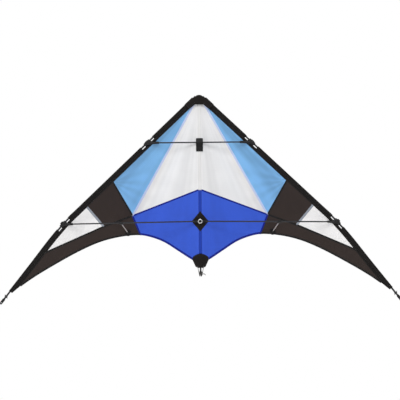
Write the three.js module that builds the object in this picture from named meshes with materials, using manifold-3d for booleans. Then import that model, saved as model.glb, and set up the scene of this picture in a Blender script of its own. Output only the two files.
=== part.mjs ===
// A framed delta kite with two flying-line positions: a spine, two leading edges, two spreaders,
// a sewn sail held off the lower spreader by two stand-offs, and the fittings that join them.
// Millimetres. +X is the kite's right, +Z is towards the nose, and the front faces -Y.
// The origin is the middle of the centre tee's flat front face.
import * as THREE from 'three';
import { mergeVertices } from 'three/addons/utils/BufferGeometryUtils.js';
import Module from 'manifold-3d';

const wasm = await Module();
wasm.setup();

// ---------------------------------------------------------------- driving dimensions
const GAP = 0.3;                    // clearance between neighbouring solids
const CLOTH = 0.6;                  // thickness of a sail panel
const WEBBING = 0.7;                // thickness of the webbing and patches

const EDGE_NOSE = [10, 381];        // outer fold of the leading edge at the nose
const EDGE_KNEE = [400, 13];        // where the two leading-edge rods meet
const EDGE_TIP = [576, -203];       // where the sleeve ends
const SLEEVE_WIDTH = 15;            // sewn width of the leading-edge sleeve
const SLEEVE_RADIUS = 4;            // the sleeve's round outer fold
const SLEEVE_START = 14;            // distance from the nose along the fold

const EDGE_ROD_RADIUS = 2.75;
const SPREADER_RADIUS = 2;
const SPINE_RADIUS = 2.5;
const STANDOFF_RADIUS = 1.5;

const FRAME_Y = 5;                  // plane of the leading edges and spreaders
const SAIL_Y = 10;                  // front of the sail beside the spine
const EDGE_SAIL_Y = 8.8;            // front of the sail where it meets the sleeve
const SPINE_Y = 13.6;               // axis of the spine
const SAIL_START = 5.2;             // where the wing panels begin beside the spine
const POCKET_HALF = 4.5;            // half the width of the spine pocket

const SPINE_TOP = 356;
const SPINE_BOTTOM = -160;
const UPPER_SPREADER_Z = 237;
const LOWER_SPREADER_Z = 0;
const LOWER_SPREADER_DROP = -5;     // height of its outer ends
const CONNECTOR_HALF = 11;          // half the length of a connector's sleeve
const WINDOW_HALF = 24;             // half the length of a cut-out in the sleeve
const WINDOW_INSET = 10;            // what is left of the sleeve inside a cut-out starts here

const SAIL_DEPTH = 110;             // how far the stand-offs push the sail back
const STANDOFF_FOOT = [220, -34];   // where a stand-off meets the sail
const STANDOFF_CLIP_X = 238;
const RIDGE = 0.48;                 // place of the deepest fold, from spine to leading edge

const SEAM_APEX = [SAIL_START, 94];     // top of the lower centre panel
const SEAM_CROSS = [205, 18];           // where four panels meet
const SEAM_HEEL = [182, -41];           // lower end of the centre panel's side seam
const SEAM_SHOULDER_Z = 122;            // upper end of the dark wing at the sleeve
const SEAM_WINDOW_Z = 48;               // upper end of the light window at the sleeve
const WINDOW_HEEL = [292, -14];         // inner corner of the window
const WINDOW_TOE_Z = -91;           // lower end of the window at the sleeve
const TIP_PANEL_Z = -189;           // the dark wing ends here at the sleeve
const TIP_PANEL_X = 540;            // and here on the trailing edge

// ---------------------------------------------------------------- finishes
const finish = (color, roughness, metalness = 0) => ({ color, roughness, metalness });
const FINISH = {
  white: finish(0xe4e4e6, 0.55),
  paleBlue: finish(0x6ab0e4, 0.55),
  royal: finish(0x3358c8, 0.55),
  dark: finish(0x38302f, 0.6),
  window: finish(0xdfe0e3, 0.4),
  webbing: finish(0x1b191b, 0.8),
  rod: finish(0x2b2b2d, 0.35),
  vinyl: finish(0x141415, 0.5),
  standoff: finish(0xa59b96, 0.45),
  metal: finish(0xc8c8cc, 0.25, 1),
  cord: finish(0xb9b4aa, 0.85),
};

const kite = new THREE.Group();

function add(name, geometry, look) {
  const mesh = new THREE.Mesh(geometry, new THREE.MeshStandardMaterial(look));
  mesh.name = name;
  kite.add(mesh);
}

// ---------------------------------------------------------------- solids
function toSolid(geometry) {
  const bare = geometry.clone();
  bare.deleteAttribute('normal');
  bare.deleteAttribute('uv');
  const merged = mergeVertices(bare, 1e-4);
  return new wasm.Manifold(new wasm.Mesh({
    numProp: 3,
    vertProperties: Float32Array.from(merged.attributes.position.array),
    triVerts: Uint32Array.from(merged.index.array),
  }));
}

function toGeometry(solid) {
  const mesh = solid.getMesh();
  const geometry = new THREE.BufferGeometry();
  geometry.setAttribute('position', new THREE.BufferAttribute(mesh.vertProperties, 3));
  geometry.setIndex(new THREE.BufferAttribute(mesh.triVerts, 1));
  geometry.computeVertexNormals();
  return geometry;
}

const joined = (...pieces) => toGeometry(pieces.map(toSolid).reduce((a, b) => a.add(b)));

function cut(piece, ...tools) {
  return toGeometry(tools.map(toSolid).reduce((a, b) => a.subtract(b), toSolid(piece)));
}

// A round bar from one point to another.
function bar(from, to, radius, sides = 8) {
  const a = new THREE.Vector3(...from);
  const b = new THREE.Vector3(...to);
  const along = b.clone().sub(a);
  const geometry = new THREE.CylinderGeometry(radius, radius, along.length(), sides);
  const turn = new THREE.Quaternion().setFromUnitVectors(
    new THREE.Vector3(0, 1, 0), along.clone().normalize());
  geometry.applyQuaternion(turn);
  geometry.translate(...a.add(b).multiplyScalar(0.5).toArray());
  return geometry;
}

function box(low, high) {
  const geometry = new THREE.BoxGeometry(...low.map((v, i) => high[i] - v));
  geometry.translate(...low.map((v, i) => (v + high[i]) / 2));
  return geometry;
}

// A plate whose outline lies in X and Z, from front to back in Y.
function plate(outline, front, back) {
  const shape = new THREE.Shape(outline.map(([x, z]) => new THREE.Vector2(x, z)));
  const geometry = new THREE.ExtrudeGeometry(shape, { depth: back - front, bevelEnabled: false });
  geometry.rotateX(Math.PI / 2);
  geometry.translate(0, back, 0);
  return geometry;
}

// A strip bent in Y and Z, with its width along X.
function strip(outline, halfWidth) {
  const shape = new THREE.Shape(outline.map(([y, z]) => new THREE.Vector2(y, z)));
  const geometry = new THREE.ExtrudeGeometry(shape, { depth: 2 * halfWidth, bevelEnabled: false });
  geometry.applyMatrix4(new THREE.Matrix4().makeBasis(
    new THREE.Vector3(0, 1, 0), new THREE.Vector3(0, 0, 1), new THREE.Vector3(1, 0, 0)));
  geometry.translate(-halfWidth, 0, 0);
  return geometry;
}

// The same solid on the other side of the spine.
function mirrored(geometry) {
  const copy = geometry.index ? geometry.toNonIndexed() : geometry.clone();
  copy.scale(-1, 1, 1);
  const position = copy.attributes.position;
  for (let i = 0; i < position.count; i += 3) {
    const [x, y, z] = [position.getX(i), position.getY(i), position.getZ(i)];
    position.setXYZ(i, position.getX(i + 1), position.getY(i + 1), position.getZ(i + 1));
    position.setXYZ(i + 1, x, y, z);
  }
  copy.computeVertexNormals();
  return copy;
}

function addPair(name, geometry, look) {
  add(`${name}_right`, geometry, look);
  add(`${name}_left`, mirrored(geometry), look);
}

// A closed skin from its points and from the corner numbers of its triangles.
function skinOf(points, faces) {
  const geometry = new THREE.BufferGeometry();
  geometry.setAttribute('position', new THREE.Float32BufferAttribute(points.flat(), 3));
  geometry.setIndex(faces);
  geometry.computeVertexNormals();
  return geometry;
}

// ---------------------------------------------------------------- leading edge
const fold = new THREE.CatmullRomCurve3([
  [-5, 395.15], EDGE_NOSE, [140, 258.4], [270, 135.7], [370, 41.3], EDGE_KNEE, [448, -41],
  [510, -120], EDGE_TIP, [616, -253],
].map(([x, z]) => new THREE.Vector3(x, 0, z)), false, 'centripetal');
const FOLD_LENGTH = fold.getLength();
const FOLD_START = new THREE.Vector3(-5, 0, 395.15).distanceTo(
  new THREE.Vector3(EDGE_NOSE[0], 0, EDGE_NOSE[1]));

// The place at a distance from the nose along the outer fold, moved inwards by inset.
function edgeAt(distance, inset) {
  const u = (distance + FOLD_START) / FOLD_LENGTH;
  const point = fold.getPointAt(u);
  const along = fold.getTangentAt(u);
  return [point.x + along.z * inset, point.z - along.x * inset];
}

function distanceAtHeight(z, inset) {
  let [low, high] = [-5, FOLD_LENGTH - FOLD_START - 0.1];
  for (let i = 0; i < 40; i += 1) {
    const middle = (low + high) / 2;
    if (edgeAt(middle, inset)[1] > z) low = middle; else high = middle;
  }
  return low;
}

const innerEdgeX = (z) => edgeAt(distanceAtHeight(z, SLEEVE_WIDTH), SLEEVE_WIDTH)[0];
const SLEEVE_END = distanceAtHeight(EDGE_TIP[1], 0);
const KNEE = distanceAtHeight(EDGE_KNEE[1], 0);

// A section swept along the leading edge. Its points are [inset, y]; a hole has as many points.
function alongEdge(outline, distances, hole = null) {
  const points = [];
  const faces = [];
  const loops = hole ? [outline, hole] : [outline];
  const count = outline.length;
  const rows = distances.length;
  loops.forEach((loop) => distances.forEach((distance) => loop.forEach(([inset, y]) => {
    const [x, z] = edgeAt(distance, inset);
    points.push([x, y, z]);
  })));
  const quad = (a, b, c, d) => faces.push(a, b, c, a, c, d);
  loops.forEach((loop, k) => {
    for (let i = 0; i < rows - 1; i += 1) {
      for (let j = 0; j < count; j += 1) {
        const a = (k * rows + i) * count;
        const b = a + count;
        const next = (j + 1) % count;
        if (k === 0) quad(a + j, a + next, b + next, b + j);
        else quad(a + next, a + j, b + j, b + next);
      }
    }
  });
  const last = (rows - 1) * count;
  for (let j = 0; j < count; j += 1) {
    const next = (j + 1) % count;
    if (hole) {
      const inner = rows * count;
      quad(j, inner + j, inner + next, next);
      quad(last + next, inner + last + next, inner + last + j, last + j);
    } else if (j > 0 && j < count - 1) {
      faces.push(0, j + 1, j);
      faces.push(last, last + j, last + j + 1);
    }
  }
  return skinOf(points, faces);
}

function circle(inset, y, radius, sides) {
  return Array.from({ length: sides }, (_, i) => {
    const angle = (2 * Math.PI * (i + 0.5)) / sides;
    return [inset + radius * Math.cos(angle), y + radius * Math.sin(angle)];
  });
}

const stations = (from, to, pieces) => Array.from(
  { length: pieces + 1 }, (_, i) => from + ((to - from) * i) / pieces);

// Stations from one distance to another, close together only where the leading edge bends.
const BEND = { from: KNEE - 80, to: SLEEVE_END + 10, step: 18 };
function edgeStations(from, to) {
  const between = [];
  for (let d = BEND.from; d < BEND.to; d += BEND.step) {
    if (d > from + 1 && d < to - 1) between.push(d);
  }
  return [from, ...between, to];
}

const ROD_INSET = SLEEVE_RADIUS;
const CONNECTOR_UPPER = distanceAtHeight(UPPER_SPREADER_Z, ROD_INSET);
const CONNECTOR_LOWER = distanceAtHeight(LOWER_SPREADER_DROP, ROD_INSET);
const FERRULE_HALF = 20;
const FERRULE_SHIFT = -44;          // the joint between the rods lies above the lower connector
const ROD_JOINT = CONNECTOR_LOWER + FERRULE_SHIFT;

function leadingEdges() {
  const section = circle(ROD_INSET, FRAME_Y, EDGE_ROD_RADIUS, 8);
  const rod = (name, from, to) => addPair(
    name, alongEdge(section, edgeStations(from, to)), FINISH.rod);
  rod('upper_leading_edge', 4, ROD_JOINT - FERRULE_HALF - GAP);
  rod('rod_ferrule', ROD_JOINT - FERRULE_HALF, ROD_JOINT + FERRULE_HALF);
  rod('lower_leading_edge', ROD_JOINT + FERRULE_HALF + GAP, SLEEVE_END + 36);
}

// A fold of cloth round the rod, sewn down to a flat band behind it.
function sleeve() {
  const round = circle(ROD_INSET, FRAME_Y, SLEEVE_RADIUS, 12);
  const bore = circle(ROD_INSET, FRAME_Y, EDGE_ROD_RADIUS + GAP, 12);
  const band = [
    [ROD_INSET + 1, EDGE_SAIL_Y - 0.1], [SLEEVE_WIDTH, EDGE_SAIL_Y - 0.1],
    [SLEEVE_WIDTH, EDGE_SAIL_Y + WEBBING - 0.1], [ROD_INSET, EDGE_SAIL_Y + WEBBING - 0.1],
  ];
  const distances = edgeStations(SLEEVE_START, SLEEVE_END);
  const whole = joined(alongEdge(round, distances, bore), alongEdge(band, distances));
  const cuts = [CONNECTOR_UPPER, CONNECTOR_LOWER].map((centre) => alongEdge(
    [[-4, -4], [WINDOW_INSET, -4], [WINDOW_INSET, 14], [-4, 14]],
    stations(centre - WINDOW_HALF, centre + WINDOW_HALF, 2)));
  addPair('leading_edge_sleeve', cut(whole, ...cuts), FINISH.webbing);
}

// A soft tube round the leading edge with a socket that takes a spreader's end.
function connector(name, distance, socketX, height) {
  const [axisX, axisZ] = edgeAt(distance, ROD_INSET);
  const grip = alongEdge(circle(ROD_INSET, FRAME_Y, 5.2, 12),
    edgeStations(distance - CONNECTOR_HALF, distance + CONNECTOR_HALF));
  const bore = alongEdge(circle(ROD_INSET, FRAME_Y, EDGE_ROD_RADIUS + GAP, 12),
    edgeStations(distance - CONNECTOR_HALF - 1, distance + CONNECTOR_HALF + 1));
  const socket = bar([socketX, FRAME_Y, height], [axisX - 1, FRAME_Y, axisZ], 3.4, 12);
  const hole = bar([socketX - 1, FRAME_Y, height], [axisX - 7, FRAME_Y, axisZ],
    SPREADER_RADIUS + GAP, 12);
  addPair(name, cut(joined(grip, socket), bore, hole), FINISH.vinyl);
}

// A cap with a nock at the end of the leading edge, and the knotted cord that tightens the sail.
function wingTips() {
  const end = SLEEVE_END + 48;
  const capStart = SLEEVE_END + 28;
  const cap = alongEdge(circle(ROD_INSET, FRAME_Y, 4.2, 10), stations(capStart, end, 1));
  const socket = alongEdge(circle(ROD_INSET, FRAME_Y, EDGE_ROD_RADIUS + GAP, 10),
    stations(capStart - 1, SLEEVE_END + 37, 1));
  const nock = alongEdge(
    [[ROD_INSET - 0.9, 0], [ROD_INSET + 0.9, 0], [ROD_INSET + 0.9, 10], [ROD_INSET - 0.9, 10]],
    stations(end - 7, end + 1, 1));
  addPair('tip_cap', cut(cap, socket, nock), FINISH.vinyl);

  const knotStart = SLEEVE_END + 17;
  const ring = alongEdge(circle(ROD_INSET, FRAME_Y, 4.9, 10), stations(knotStart, knotStart + 4, 1));
  const hollow = alongEdge(circle(ROD_INSET, FRAME_Y, EDGE_ROD_RADIUS + GAP, 10),
    stations(knotStart - 1, knotStart + 5, 1));
  const [x, z] = edgeAt(knotStart + 2, ROD_INSET);
  const tags = [[9, 3], [-9, 1]].map(([dx, dz]) => bar(
    [x + Math.sign(dx) * 2, FRAME_Y - 4.2, z], [x + dx, FRAME_Y - 4.8, z + dz], 0.8, 6));
  addPair('tip_cord', cut(joined(ring, ...tags), hollow), FINISH.webbing);
}

// ---------------------------------------------------------------- spine, tee and spreaders
function spine() {
  add('spine', bar([0, SPINE_Y, SPINE_BOTTOM], [0, SPINE_Y, SPINE_TOP], SPINE_RADIUS), FINISH.rod);
}

// A cloth tube round the spine; its front shows as the stripe down the middle of the sail.
function spinePocket(name, bottom, top, look) {
  const outer = box([-POCKET_HALF, SAIL_Y, bottom], [POCKET_HALF, SPINE_Y + 3.6, top]);
  const bore = bar([0, SPINE_Y, bottom - 1], [0, SPINE_Y, top + 1], SPINE_RADIUS + GAP, 12);
  add(name, cut(outer, bore), look);
}

// A moulded tee: a saddle round the spine, two sockets in front for the lower spreaders.
const TEE_REACH = 17;
const TEE_HALF = 11;
function centreTee() {
  const saddle = bar([0, SPINE_Y, -TEE_HALF], [0, SPINE_Y, TEE_HALF], 4.4, 12);
  const spineBore = bar([0, SPINE_Y, -20], [0, SPINE_Y, 20], SPINE_RADIUS + GAP, 12);
  const arms = bar([-TEE_REACH, FRAME_Y, 0], [TEE_REACH, FRAME_Y, 0], 4, 12);
  const boss = bar([0, 1, 0], [0, 9, 0], 7.5, 20);
  const button = bar([0, 0, 0], [0, 5, 0], 3.9, 20);
  const neck = box([-3.2, 8, -4.5], [3.2, SPINE_Y - 2, 4.5]);
  const sockets = [-1, 1].map((side) => bar(
    [side * 4, FRAME_Y, 0], [side * (TEE_REACH + 1), FRAME_Y, 0], SPREADER_RADIUS + GAP, 12));
  add('centre_tee', cut(joined(saddle, arms, boss, button, neck), spineBore, ...sockets), FINISH.vinyl);

  const ring = bar([0, 0.1, 0], [0, 1 - GAP, 0], 6.8, 20);
  const eye = bar([0, -1, 0], [0, 2, 0], 3.9 + GAP, 20);
  add('tee_eyelet', cut(ring, eye), FINISH.metal);
}

function spreaders() {
  const [lowerX, lowerZ] = edgeAt(CONNECTOR_LOWER, ROD_INSET);
  const [upperX] = edgeAt(CONNECTOR_UPPER, ROD_INSET);
  addPair('lower_spreader', bar([4.5, FRAME_Y, 0], [lowerX - 8, FRAME_Y, lowerZ + 0.1],
    SPREADER_RADIUS), FINISH.rod);
  add('upper_spreader', bar([8 - upperX, FRAME_Y, UPPER_SPREADER_Z],
    [upperX - 8, FRAME_Y, UPPER_SPREADER_Z], SPREADER_RADIUS), FINISH.rod);
}

// A hook-and-loop strap that holds the upper spreader to the spine.
const STRAP_HALF = 10.5;
const STRAP_TOP = 250;
const STRAP_BOTTOM = 210;
function spreaderStrap() {
  const z = UPPER_SPREADER_Z;
  add('strap_base', box([-STRAP_HALF, 9.2, STRAP_BOTTOM], [STRAP_HALF, 9.7, z - 12]), FINISH.webbing);
  const front = [[8.9, STRAP_TOP], [1.9, z + 6], [1.9, z - 6], [8.1, z - 13], [8.1, STRAP_BOTTOM]];
  const back = [[8.9, STRAP_BOTTOM], [8.9, z - 12.6], [2.7, z - 5.6], [2.7, z + 5.6], [9.7, STRAP_TOP]];
  add('strap_flap', strip([...front, ...back], STRAP_HALF), FINISH.webbing);
}

// ---------------------------------------------------------------- sail
const trailingCurve = new THREE.CatmullRomCurve3([
  [-20, -124], [SAIL_START, -124], [24, -116], [70, -87], [110, -62], [150, -47], SEAM_HEEL,
  [240, -45], [300, -59], [358, -83], [442, -128], [510, -169], [566, -209], [590, -225],
].map(([x, z]) => new THREE.Vector3(x, 0, z)), false, 'centripetal');
const trailingPoints = trailingCurve.getPoints(400);

function trailingZ(x) {
  const i = Math.max(1, trailingPoints.findIndex((p) => p.x >= x));
  const [a, b] = [trailingPoints[i - 1], trailingPoints[i]];
  return a.z + ((b.z - a.z) * (x - a.x)) / (b.x - a.x);
}

// How far back the front of the sail lies: a soft ridge from the nose to the stand-off.
function sailY(x, z) {
  const edge = innerEdgeX(Math.min(z, 350));
  const share = Math.min(1, Math.max(0, (x - SAIL_START) / (edge - SAIL_START)));
  const tent = share < RIDGE ? share / RIDGE : (1 - share) / (1 - RIDGE);
  const swell = Math.sin(Math.PI * share ** (Math.log(0.5) / Math.log(RIDGE)));
  const deepest = (SAIL_DEPTH * (SPINE_TOP - z)) / (SPINE_TOP - STANDOFF_FOOT[1]);
  return SAIL_Y + (EDGE_SAIL_Y - SAIL_Y) * share + deepest * (0.7 * tent + 0.3 * swell);
}

const mix = (a, b, t) => [a[0] + (b[0] - a[0]) * t, a[1] + (b[1] - a[1]) * t];

// Moves every corner of a closed outline inwards by half a gap.
function inset(outline, distance) {
  const side = (a, b) => {
    const length = Math.hypot(b[0] - a[0], b[1] - a[1]);
    return [-(b[1] - a[1]) / length, (b[0] - a[0]) / length];
  };
  const area = outline.reduce((sum, p, i) => {
    const q = outline[(i + 1) % outline.length];
    return sum + p[0] * q[1] - q[0] * p[1];
  }, 0);
  const towards = area > 0 ? distance : -distance;
  return outline.map((p, i) => {
    const before = side(outline[(i + outline.length - 1) % outline.length], p);
    const after = side(p, outline[(i + 1) % outline.length]);
    const scale = towards / (1 + before[0] * after[0] + before[1] * after[1]);
    return [p[0] + (before[0] + after[0]) * scale, p[1] + (before[1] + after[1]) * scale];
  });
}

// A sheet of cloth between two edges with as many points each, lying on the sail's surface.
function panel(first, second, across, lift = 0, thickness = CLOTH) {
  const ring = inset([...first, ...[...second].reverse()], GAP / 2);
  const a = ring.slice(0, first.length);
  const b = ring.slice(first.length).reverse();
  const rows = a.length;
  const columns = across + 1;
  const points = [];
  for (const back of [0, thickness]) {
    for (let i = 0; i < rows; i += 1) {
      for (let j = 0; j < columns; j += 1) {
        const [x, z] = mix(a[i], b[i], j / across);
        points.push([x, sailY(x, z) - lift + back, z]);
      }
    }
  }
  const size = rows * columns;
  const turned = (b[0][0] - a[0][0]) * (a[rows - 1][1] - a[0][1])
    - (b[0][1] - a[0][1]) * (a[rows - 1][0] - a[0][0]) > 0;
  const faces = [];
  const quad = (p, q, r, s) => {
    if (turned) faces.push(p, r, q, p, s, r); else faces.push(p, q, r, p, r, s);
  };
  for (let i = 0; i < rows - 1; i += 1) {
    for (let j = 0; j < across; j += 1) {
      const p = i * columns + j;
      quad(p, p + columns, p + columns + 1, p + 1);
      quad(size + p, size + p + 1, size + p + columns + 1, size + p + columns);
    }
  }
  for (let i = 0; i < rows - 1; i += 1) {
    const p = i * columns;
    quad(p, size + p, size + p + columns, p + columns);
    quad(p + across, p + columns + across, size + p + columns + across, size + p + across);
  }
  for (let j = 0; j < across; j += 1) {
    quad(j, j + 1, size + j + 1, size + j);
    const p = (rows - 1) * columns + j;
    quad(p, size + p, size + p + 1, p + 1);
  }
  return skinOf(points, faces);
}

const line = (from, to, pieces) => Array.from(
  { length: pieces + 1 }, (_, i) => mix(from, to, i / pieces));
const innerEdge = (fromZ, toZ, pieces) => {
  const inside = SLEEVE_WIDTH + GAP;
  const [from, to] = [distanceAtHeight(fromZ, inside), distanceAtHeight(toZ, inside)];
  return stations(from, to, pieces).map((distance) => edgeAt(distance, inside));
};
const trailing = (fromX, toX, pieces) => stations(fromX, toX, pieces).map((x) => [x, trailingZ(x)]);

function sail() {
  const noseZ = 350;
  const seamTop = [16.3, noseZ];
  addPair('white_panel', panel(
    line([SAIL_START, noseZ], SEAM_APEX, 8), line(seamTop, SEAM_CROSS, 8), 6), FINISH.white);
  addPair('pale_blue_panel', panel(
    line(seamTop, SEAM_CROSS, 8), innerEdge(noseZ, SEAM_SHOULDER_Z, 8), 4), FINISH.paleBlue);
  addPair('royal_panel', panel(
    line(SEAM_APEX, SEAM_CROSS, 8), trailing(SAIL_START, SEAM_HEEL[0], 8), 5), FINISH.royal);
  addPair('dark_upper_panel', panel(
    innerEdge(SEAM_SHOULDER_Z, SEAM_WINDOW_Z, 4), line(SEAM_CROSS, WINDOW_HEEL, 4), 5), FINISH.dark);
  const toe = innerEdge(WINDOW_TOE_Z, WINDOW_TOE_Z - 1, 1)[0];
  addPair('window_panel', panel(
    innerEdge(SEAM_WINDOW_Z, WINDOW_TOE_Z + 2, 7), line(WINDOW_HEEL, mix(toe, WINDOW_HEEL, 0.01), 7),
    4), FINISH.window);
  const upperSide = [
    ...line(SEAM_CROSS, WINDOW_HEEL, 4), ...line(WINDOW_HEEL, toe, 6).slice(1),
    ...innerEdge(WINDOW_TOE_Z, TIP_PANEL_Z, 5).slice(1)];
  const lowerSide = [
    ...trailing(SEAM_HEEL[0], 262, 4), ...trailing(262, 430, 6).slice(1),
    ...trailing(430, TIP_PANEL_X, 5).slice(1)];
  addPair('dark_lower_panel', panel(upperSide, lowerSide, 3), FINISH.dark);
}

// ---------------------------------------------------------------- reinforcements
const PATCH_LIFT = WEBBING + GAP - CLOTH / 2;
function patches() {
  const diamond = (x) => 31 * (1 - Math.abs(x) / 26);
  const inner = SAIL_START;
  addPair('centre_patch', panel(
    line([inner, diamond(inner)], [24.5, 2], 3), line([inner, -diamond(inner)], [24.5, -2], 3),
    3, PATCH_LIFT, 0.4), FINISH.webbing);
  const middle = plate([[-4.2, 29], [-4.2, -29], [4.2, -29], [4.2, 29]], 9.3, 9.7);
  const slot = box([-3.6, 8, -TEE_HALF - GAP], [3.6, 11, TEE_HALF + GAP]);
  add('centre_patch_middle', cut(middle, slot), FINISH.webbing);

  addPair('tail_patch', panel(
    [[inner, -98], [14, -101], [23, -106]], [[inner, -139], [10, -138], [14.5, -135]],
    3, PATCH_LIFT, 0.4), FINISH.webbing);
  const outer = box([-POCKET_HALF, 9.4, -139], [POCKET_HALF, SPINE_Y + 3.6, -98]);
  const bore = bar([0, SPINE_Y, -145], [0, SPINE_Y, -90], SPINE_RADIUS + GAP, 12);
  add('tail_patch_middle', cut(outer, bore), FINISH.webbing);
}

// Webbing folded over the nose; it takes the ends of the spine and of both leading edges.
function nose() {
  const inner = SLEEVE_WIDTH - GAP;
  const notch = edgeAt(distanceAtHeight(353, inner), inner);
  const outline = [[SAIL_START, 353], [SAIL_START, 380], [11, 381], edgeAt(44, -1.2),
    edgeAt(44, inner), notch];
  const hollow = [[SAIL_START - 2, 330], [SAIL_START - 2, 378.6], edgeAt(1.5, -GAP),
    edgeAt(50, -GAP), edgeAt(50, 18)];
  addPair('nose_webbing', cut(plate(outline, 0, 10.5), plate(hollow, WEBBING, 9.8)), FINISH.webbing);
  const middle = box([-POCKET_HALF, 0, 353], [POCKET_HALF, 18, 380]);
  const inside = box([-POCKET_HALF - 1, WEBBING, 350], [POCKET_HALF + 1, 18 - WEBBING, 378.6]);
  add('nose_webbing_middle', cut(middle, inside), FINISH.webbing);
}

// The nock on the spine's lower end and the cord that pulls the tail patch down to it.
function tail() {
  const cap = bar([0, SPINE_Y, -166], [0, SPINE_Y, -150], 4.1, 12);
  const socket = bar([0, SPINE_Y, SPINE_BOTTOM - GAP], [0, SPINE_Y, -149], SPINE_RADIUS + GAP, 12);
  const notch = box([-0.9, SPINE_Y - 6, -167], [0.9, SPINE_Y + 6, -161.2]);
  add('tail_nock', cut(cap, socket, notch), FINISH.vinyl);

  const radius = 0.8;
  const y = SPINE_Y - 5.4;
  const legs = [-1, 1].map((side) => bar([side * 7.5, y, -139.6], [side * 1.4, y, -160], radius, 6));
  const knot = bar([-1.6, y, -160.2], [1.6, y, -160.2], 1.1, 8);
  const tag = bar([0.8, y, -160], [14, y - 1.5, -156], radius, 6);
  add('tail_cord', joined(...legs, knot, tag), FINISH.cord);
}

// ---------------------------------------------------------------- stand-offs
function standoffs() {
  const spreaderZ = LOWER_SPREADER_DROP * (STANDOFF_CLIP_X / edgeAt(CONNECTOR_LOWER, 0)[0]);
  const [footX, footZ] = STANDOFF_FOOT;
  const sailFront = sailY(footX, footZ);
  const from = new THREE.Vector3(STANDOFF_CLIP_X, FRAME_Y, spreaderZ);
  const foot = new THREE.Vector3(footX, sailFront - 2.4, footZ);
  const way = foot.clone().sub(from).normalize();
  const point = (distance) => from.clone().addScaledVector(way, distance).toArray();

  const grip = bar([STANDOFF_CLIP_X - 6, FRAME_Y, spreaderZ], [STANDOFF_CLIP_X + 6, FRAME_Y, spreaderZ],
    3.9, 12);
  const bore = bar([STANDOFF_CLIP_X - 9, FRAME_Y, spreaderZ + 0.11],
    [STANDOFF_CLIP_X + 9, FRAME_Y, spreaderZ - 0.11], SPREADER_RADIUS + GAP, 12);
  const stub = bar(point(3), point(14), 3, 10);
  const hole = bar(point(5), point(15), STANDOFF_RADIUS + GAP, 10);
  addPair('standoff_clip', cut(joined(grip, stub), bore, hole), FINISH.vinyl);

  const length = foot.distanceTo(from);
  addPair('standoff', bar(point(5.4), point(length - 5), STANDOFF_RADIUS), FINISH.standoff);
  const cap = bar(point(length - 12), point(length), 2.6, 10);
  const socket = bar(point(length - 13), point(length - 4.6), STANDOFF_RADIUS + GAP, 10);
  addPair('standoff_cap', cut(cap, socket), FINISH.vinyl);
}

spine();
spinePocket('upper_spine_pocket', SEAM_APEX[1] + GAP, 350, FINISH.white);
spinePocket('middle_spine_pocket', TEE_HALF + GAP, SEAM_APEX[1], FINISH.royal);
spinePocket('lower_spine_pocket', -98 + GAP, -TEE_HALF - GAP, FINISH.royal);
centreTee();
spreaders();
spreaderStrap();
leadingEdges();
sleeve();
connector('upper_connector', CONNECTOR_UPPER, 121, UPPER_SPREADER_Z);
connector('lower_connector', CONNECTOR_LOWER, 382, LOWER_SPREADER_DROP + 0.3);
wingTips();
sail();
patches();
nose();
tail();
standoffs();

export default kite;
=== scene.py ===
"""A framed delta kite: sewn ripstop sail, rod frame, moulded fittings and webbing.

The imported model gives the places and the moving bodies; this script makes every visible surface.
Lengths are metres; the drafting values below are millimetres and pass through MM.
"""
import math

import bmesh
import bpy
import numpy as np
from mathutils import Matrix, Vector


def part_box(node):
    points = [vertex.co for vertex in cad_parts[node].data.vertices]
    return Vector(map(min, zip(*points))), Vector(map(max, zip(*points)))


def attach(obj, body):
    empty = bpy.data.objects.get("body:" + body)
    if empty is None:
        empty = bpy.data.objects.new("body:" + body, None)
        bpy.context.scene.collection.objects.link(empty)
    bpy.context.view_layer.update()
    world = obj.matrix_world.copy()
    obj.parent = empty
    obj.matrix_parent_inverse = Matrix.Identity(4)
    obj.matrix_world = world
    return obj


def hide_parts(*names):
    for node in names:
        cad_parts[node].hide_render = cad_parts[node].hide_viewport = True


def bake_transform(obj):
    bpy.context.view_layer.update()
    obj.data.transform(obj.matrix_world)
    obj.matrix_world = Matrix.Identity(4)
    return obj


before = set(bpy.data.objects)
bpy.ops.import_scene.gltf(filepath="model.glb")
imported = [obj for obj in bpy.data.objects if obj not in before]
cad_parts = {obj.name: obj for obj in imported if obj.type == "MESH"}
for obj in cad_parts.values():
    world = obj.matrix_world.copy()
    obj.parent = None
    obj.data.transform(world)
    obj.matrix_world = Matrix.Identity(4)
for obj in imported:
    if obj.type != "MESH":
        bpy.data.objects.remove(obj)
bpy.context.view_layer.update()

MM = 0.001
SIDES = (("left", -1), ("right", 1))
ROOT = "spine_frame"
WHOLE_TURN = 2 * math.pi


def middle(node):
    """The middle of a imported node's box, in millimetres."""
    low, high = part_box(node)
    return (low + high) / 2 / MM


# ---------------------------------------------------------------- sizes, in millimetres
FRAME_Y = middle("upper_spreader").y
SPINE_Y = middle("spine").y
UPPER_Z = middle("upper_spreader").z
SPINE_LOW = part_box("spine")[0].z / MM
SPINE_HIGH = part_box("spine")[1].z / MM
POCKET_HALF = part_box("upper_spine_pocket")[1].x / MM
POCKET_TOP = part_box("upper_spine_pocket")[1].z / MM
APEX_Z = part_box("middle_spine_pocket")[1].z / MM
TEE_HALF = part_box("centre_tee")[1].z / MM
TEE_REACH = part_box("centre_tee")[1].x / MM
LOWER_END_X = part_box("lower_spreader_right")[1].x / MM
STANDOFF_CLIP_X = middle("standoff_clip_right").x
STRAP_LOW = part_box("strap_flap")[0].z / MM
STRAP_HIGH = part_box("strap_flap")[1].z / MM
STRAP_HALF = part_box("strap_flap")[1].x / MM

EDGE_ROD_RADIUS = 2.75
SPREADER_RADIUS = 2.0
SPINE_RADIUS = 2.5
STANDOFF_RADIUS = 1.5
ROD_INSET = 4.0
SLEEVE_WIDTH = 15.0
SLEEVE_START = 14.0
CUTOUT_HALF = 24.0

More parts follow.
